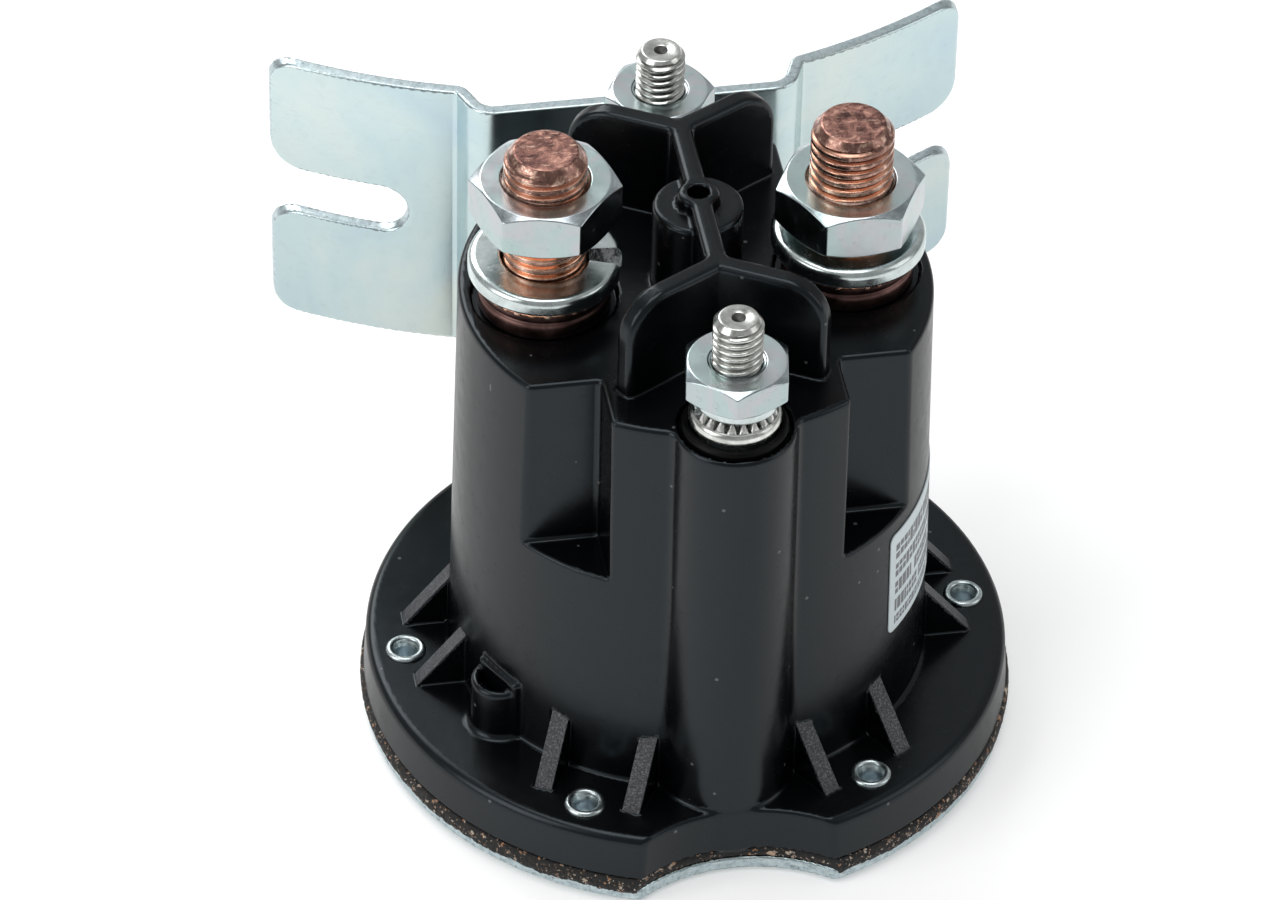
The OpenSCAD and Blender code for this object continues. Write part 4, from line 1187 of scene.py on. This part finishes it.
def lump(x, y, z, s):
    return noise.noise(Vector((x * s, y * s, z * s)))


for i in range(n):
    t = 2 * math.pi * i / n
    ux, uy = math.cos(t), math.sin(t)
    rho = 32.58
    uc = uy * NOTCH_Y
    disc = uc * uc - (NOTCH_Y ** 2 - NOTCH_R ** 2)
    notch = False
    if uc > 0 and disc > 0 and uc - math.sqrt(disc) - 0.02 < rho:
        rho = uc - math.sqrt(disc) - 0.02
        notch = True
    bx, by = rho * ux, rho * uy
    sag = 0.0 if notch else 0.46 + 0.20 * lump(bx, by, 0, 0.35) + 0.18 * lump(bx, by, 4, 1.5) + 0.13 * lump(bx, by, 9, 4.0)
    lo = 1.4 - max(0.0, sag)
    hi = 2.68
    out = []
    rows = 11
    for j in range(rows + 1):
        s = j / rows
        z = hi + (lo - hi) * s
        bulge = 0.34 * (1 - math.sqrt(max(0.0, 1 - (2 * s - 1) ** 2)))
        rag = 0.10 * (0.5 + 0.5 * lump(bx, by, z * 1.3, 1.6)) + 0.20 * max(0.0, lump(bx, by, z * 1.2 + 7, 3.4)) + 0.10 * max(0.0, lump(bx, by, z + 3, 6.0))
        out.append((rho - min(bulge + rag, 0.42), z))
    inner = rho - 0.25 if not notch else rho - 0.4
    L = [(20.6, 1.42), (20.6, 2.7), (rho - 0.5, 2.7)] + out
    if notch:
        L += [(inner, 1.40), (inner - 0.1, 1.41)]
    else:
        L += [(32.32, lo + 0.05), (32.30, 1.42)]
    loops.append(L)
    ang.append(t)
v, f = loop_solid(loops, ang)
place(new_obj("gasket_ring", v, f, CORK, 60), "base_gasket")

# wrap-around label with generic bars
LZ0, LZ1, LA = 18.35, 30.75, math.radians(44)


def label_r(z):
    return BODY_FOOT - BR * (z - FLANGE_TOP + 0.5)


def label_patch(a0, a1, z0, z1, r0, r1, corner, na, nz):
    """Curved patch between angles and heights, from r0 to r1 above the body's wall."""
    rows = []
    zs = [z0 + corner * (1 - math.cos(math.pi / 2 * i / 5)) for i in range(6)] if corner else [z0]
    zs += [z0 + corner + (z1 - z0 - 2 * corner) * i / nz for i in range(1, nz)]
    zs += [z1 - corner * (1 - math.cos(math.pi / 2 * i / 5)) for i in range(5, -1, -1)] if corner else [z1]
    grid = []
    rm = label_r((z0 + z1) / 2)
    for z in zs:
        d = min(z - z0, z1 - z)
        cut = corner - math.sqrt(max(0.0, corner ** 2 - (corner - d) ** 2)) if corner and d < corner else 0.0
        b0, b1 = a0 + cut / rm, a1 - cut / rm
        grid.append([(b0 + (b1 - b0) * i / na, z) for i in range(na + 1)])
    nr, ncol = len(grid), na + 1
    verts = []
    for off in (r1, r0):
        for row in grid:
            for a, z in row:
                r = label_r(z) + off
                verts.append((r * math.cos(a), r * math.sin(a), z))
    N = nr * ncol
    faces = []
    for i in range(nr - 1):
        for j in range(na):
            a = i * ncol + j
            faces.append((a, a + 1, a + 1 + ncol, a + ncol))
            faces.append((N + a, N + a + ncol, N + a + 1 + ncol, N + a + 1))
    rim = [j for j in range(ncol)] + [i * ncol + na for i in range(1, nr)] + [(nr - 1) * ncol + j for j in range(na - 1, -1, -1)] + [i * ncol for i in range(nr - 2, 0, -1)]
    for k in range(len(rim)):
        a, b = rim[k], rim[(k + 1) % len(rim)]
        faces.append((a, N + a, N + b, b))
    return verts, faces


v, f = label_patch(-LA, LA, LZ0, LZ1, 0.02, 0.125, 0.8, 90, 10)
place(new_obj("label_patch", v, f, LABEL, 40), "rating_label")

parts = []
lr = label_r(24.5)
rs = np.random.RandomState(7)
rows = [(29.25, 27.45, [6.2, 4.0, 5.5, 3.4]), (26.75, 25.15, [7.6, 3.0, 6.4, 4.4]), (24.45, 22.95, [3.6, 5.2, 8.0, 3.0]),
        (22.25, 20.75, [5.0, 6.6, 4.2, 3.8]), (20.15, 19.15, [9.0, 5.6, 6.2])]
for zt, zb, words in rows:
    s = 1.0
    for w in words:
        x = s
        while x < s + w and x < 2 * LA * lr - 1.4:
            cw = 0.62 if zt - zb > 1.2 else 0.42
            cw *= rs.choice([0.55, 0.9, 1.0, 1.0, 1.15])
            a0 = -LA + x / lr
            kind = rs.randint(0, 4)
            th = 0.16 if zt - zb > 1.2 else 0.11
            # each mark is a plain frame, bar or pair of bars, none of them a letter
            segs = [[(0, 1, 0, 1)], [(0, 1, 0.56, 1), (0, 1, 0, 0.40)], [(0, 1, 0, 1)], [(0, 1, 0.62, 1), (0, 1, 0.0, 0.46)]][kind]
            for u0, u1, v0, v1 in segs:
                parts.append(label_patch(a0 + u0 * cw / lr, a0 + u1 * cw / lr, zb + v0 * (zt - zb), zb + v1 * (zt - zb), 0.11, 0.135, 0, 2, 2))
            x += cw + 0.16
        s += w + 0.75
v, f = join(parts)
place(new_obj("label_marks", v, f, PRINT, 40), "rating_label")


# ------------------------------------------------------------------ springs

def coil_spring(name, node, body, rm, w, z0, z1, turns):
    """Round wire compression spring with closed, ground ends."""
    z0, z1 = z0 + 0.02, z1 - 0.02
    n, m = round(turns * 44), 14
    h, e, c = z1 - z0 - w * 0.7, 0.8 / turns, w * 0.84
    V, F = [], []
    for i in range(n + 1):
        f = i / n
        zc = c * f / e if f < e else h - c * (1 - f) / e if f > 1 - e else c + (h - 2 * c) * (f - e) / (1 - 2 * e)
        t = 2 * math.pi * turns * f
        for k in range(m):
            b = 2 * math.pi * (k + 0.5) / m
            rr = rm + w / 2 * math.cos(b)
            V.append((rr * math.cos(t), rr * math.sin(t), min(max(z0 + w * 0.35 + zc + w / 2 * math.sin(b), z0), z1)))
    for i in range(n):
        for k in range(m):
            q = (k + 1) % m
            F.append((i * m + k, (i + 1) * m + k, (i + 1) * m + q, i * m + q))
    F.append(tuple(range(m)))
    F.append(tuple(n * m + k for k in reversed(range(m))))
    o = new_obj(name, V, F, mat_plain(name + "_wire", (0.48, 0.48, 0.47), (0.66, 0.66, 0.64), 1.0, 0.18, 0.3, 900), 50)
    place(o, node, body)
    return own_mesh(o)


coil_spring("return_coil", "return_spring", "relay", 2.4, 0.6, 45.35, 58.0, 7)
coil_spring("overtravel_coil", "overtravel_spring", "plunger", 2.45, 0.7, 34.2, 39.75, 4)

# ------------------------------------------------------------------ finish of the pieces kept from the CAD

CAD_MATS = {
    "coil_bobbin": mat_plain("nylon_natural", (0.42, 0.38, 0.28), (0.52, 0.48, 0.38), 0.0, 0.38, 0.5, 400),
    "coil_winding": mat_plain("enamel_wire", (0.30, 0.09, 0.03), (0.62, 0.26, 0.10), 0.85, 0.22, 0.34, 300, 0.6, rings=640),
    "coil_tape": mat_plain("polyester_tape", (0.48, 0.33, 0.06), (0.62, 0.46, 0.12), 0.0, 0.22, 0.34, 300),
    "coil_lead_front": mat_plain("lead_wire_front", (0.40, 0.14, 0.05), (0.62, 0.28, 0.12), 0.9, 0.2, 0.32, 900),
    "coil_lead_rear": mat_plain("lead_wire_rear", (0.40, 0.14, 0.05), (0.62, 0.28, 0.12), 0.9, 0.2, 0.32, 900),
    "yoke_cup": mat_plain("steel_yoke", (0.40, 0.41, 0.41), (0.52, 0.53, 0.53), 1.0, 0.34, 0.48, 380),
    "flux_plate": mat_plain("steel_plate", (0.40, 0.41, 0.41), (0.54, 0.55, 0.55), 1.0, 0.34, 0.48, 420),
    "pole_core": mat_plain("steel_pole", (0.44, 0.44, 0.43), (0.56, 0.56, 0.55), 1.0, 0.26, 0.38, 520),
    "plunger": mat_plain("steel_plunger", (0.46, 0.46, 0.45), (0.60, 0.60, 0.58), 1.0, 0.20, 0.32, 520, rings=2600),
    "push_rod": mat_plain("rod_steel", (0.58, 0.58, 0.57), (0.70, 0.70, 0.69), 1.0, 0.16, 0.26, 700, rings=3200),
    "spring_seat": mat_plain("clip_steel_lower", (0.10, 0.10, 0.11), (0.18, 0.18, 0.19), 1.0, 0.3, 0.45, 700),
    "rod_clip": mat_plain("clip_steel_upper", (0.10, 0.10, 0.11), (0.18, 0.18, 0.19), 1.0, 0.3, 0.45, 700),
    "return_spring_seat": mat_plain("nylon_seat", (0.42, 0.38, 0.28), (0.52, 0.48, 0.38), 0.0, 0.38, 0.5, 500),
    "contact_bridge": mat_plain("copper_bar", (0.62, 0.30, 0.20), (0.84, 0.50, 0.35), 1.0, 0.22, 0.36, 500),
    "bridge_bush": mat_plain("phenolic_bush", (0.045, 0.022, 0.010), (0.09, 0.045, 0.022), 0.0, 0.35, 0.5, 700),
    "bridge_insulator": mat_plain("phenolic_washer", (0.045, 0.022, 0.010), (0.09, 0.045, 0.022), 0.0, 0.35, 0.5, 700),
}
for name, mat in CAD_MATS.items():
    me = NODES[name].data
    if len(me.materials) == 0:
        me.materials.append(mat)
    for i in range(len(me.materials)):
        me.materials[i] = mat

# ------------------------------------------------------------------ floor, light and camera

sc = bpy.context.scene


def stage_mesh(name, verts, faces, mat):
    o = new_obj(name, verts, faces, mat, 180)
    return o


fm = Mat("stage_white").set(Metallic=0.0, IOR=1.3)
fn = fm.noise(3.0, 3)
fm.color(fm.ramp(fn, [(0.3, (0.86, 0.86, 0.86)), (0.7, (0.88, 0.88, 0.88))]))
fm.set(Roughness=0.9, Emission_Color=(1.0, 1.0, 1.0, 1.0), Emission_Strength=0.28)
V = [(-1500, -900, -0.35), (1500, -900, -0.35), (1500, 500, -0.35), (-1500, 500, -0.35),
     (3000, 500, -0.35), (3000, 1000, -0.35), (-3000, 1000, -0.35), (-3000, 500, -0.35)]
stage_mesh("stage_floor", V, [(0, 1, 2, 3), (7, 3, 2, 4, 5, 6)], fm.m)
# grey sweep far behind, so that the object can be looked at from every side
wm = Mat("stage_grey").set(Metallic=0.0, IOR=1.3)
wm.color(wm.ramp(wm.noise(3.0, 3), [(0.3, (0.78, 0.79, 0.80)), (0.7, (0.81, 0.82, 0.83))]))
wm.set(Roughness=0.9, Emission_Color=(1.0, 1.0, 1.0, 1.0), Emission_Strength=0.13)
V, F = [], []
prof = [(1000 + 600 * math.sin(math.radians(a)), 600 - 600 * math.cos(math.radians(a))) for a in range(0, 91, 6)] + [(1600.0, 2600.0)]
for yy, zz in prof:
    V += [(-3000, yy, zz - 0.35), (3000, yy, zz - 0.35)]
for i in range(len(prof) - 1):
    F.append((2 * i, 2 * i + 1, 2 * i + 3, 2 * i + 2))
stage_mesh("stage_sweep", V, F, wm.m)


def area(name, loc, target, size, energy, size_y=None, color=(1, 1, 1)):
    d = bpy.data.lights.new(name, "AREA")
    d.shape = "RECTANGLE"
    d.size = size
    d.size_y = size_y or size
    d.energy = energy
    d.color = color
    o = bpy.data.objects.new(name, d)
    sc.collection.objects.link(o)
    o.location = loc
    o.rotation_euler = (Vector(target) - Vector(loc)).to_track_quat("-Z", "Y").to_euler()
    return o


area("key_left", (-0.60, -0.22, 0.40), (0, 0, 0.03), 0.40, 1.7, 0.5)
area("top_soft", (-0.05, 0.0, 0.80), (0, 0, 0.03), 0.5, 2.3)
area("back_soft", (-0.25, 0.70, 0.55), (0, 0, 0.03), 0.5, 3.2)
area("fill_right", (0.60, -0.20, 0.35), (0, 0, 0.03), 0.35, 0.6, 0.5)

world = bpy.data.worlds.new("tent")
world.use_nodes = True
wn = world.node_tree
wn.nodes["Background"].inputs[0].default_value = (1, 1, 1, 1)
wn.nodes["Background"].inputs[1].default_value = 0.36
sc.world = world
sc.view_settings.view_transform = "Standard"
sc.view_settings.look = "None"
sc.view_settings.exposure = 0.0

AZ, EL, ROLL, TX, TY, DIST, FPX = -10.356, 40.817, 1.343, 4.964, -0.270, 689.720, 7056.750
a, e, r = math.radians(AZ), math.radians(EL), math.radians(ROLL)
back = np.array([math.sin(a) * math.cos(e), -math.cos(a) * math.cos(e), math.sin(e)])
fwd = -back
right = np.cross(fwd, [0, 0, 1])
right /= np.linalg.norm(right)
upv = np.cross(right, fwd)
R0 = math.cos(r) * right + math.sin(r) * upv
R1 = -math.sin(r) * right + math.cos(r) * upv
pos = np.array([0, 0, 30.0]) - (R0 * TX + R1 * TY + fwd * DIST)
cam = bpy.data.cameras.new("photo_camera")
cam.sensor_width = 36.0
cam.sensor_fit = "HORIZONTAL"
cam.lens = FPX / 1280.0 * 36.0
cam.clip_start = 0.01
cam.clip_end = 20.0
co = bpy.data.objects.new("photo_camera", cam)
sc.collection.objects.link(co)
co.matrix_world = Matrix(((R0[0], R1[0], -fwd[0], pos[0] * MM), (R0[1], R1[1], -fwd[1], pos[1] * MM), (R0[2], R1[2], -fwd[2], pos[2] * MM), (0, 0, 0, 1)))
sc.camera = co

bpy.context.view_layer.update()
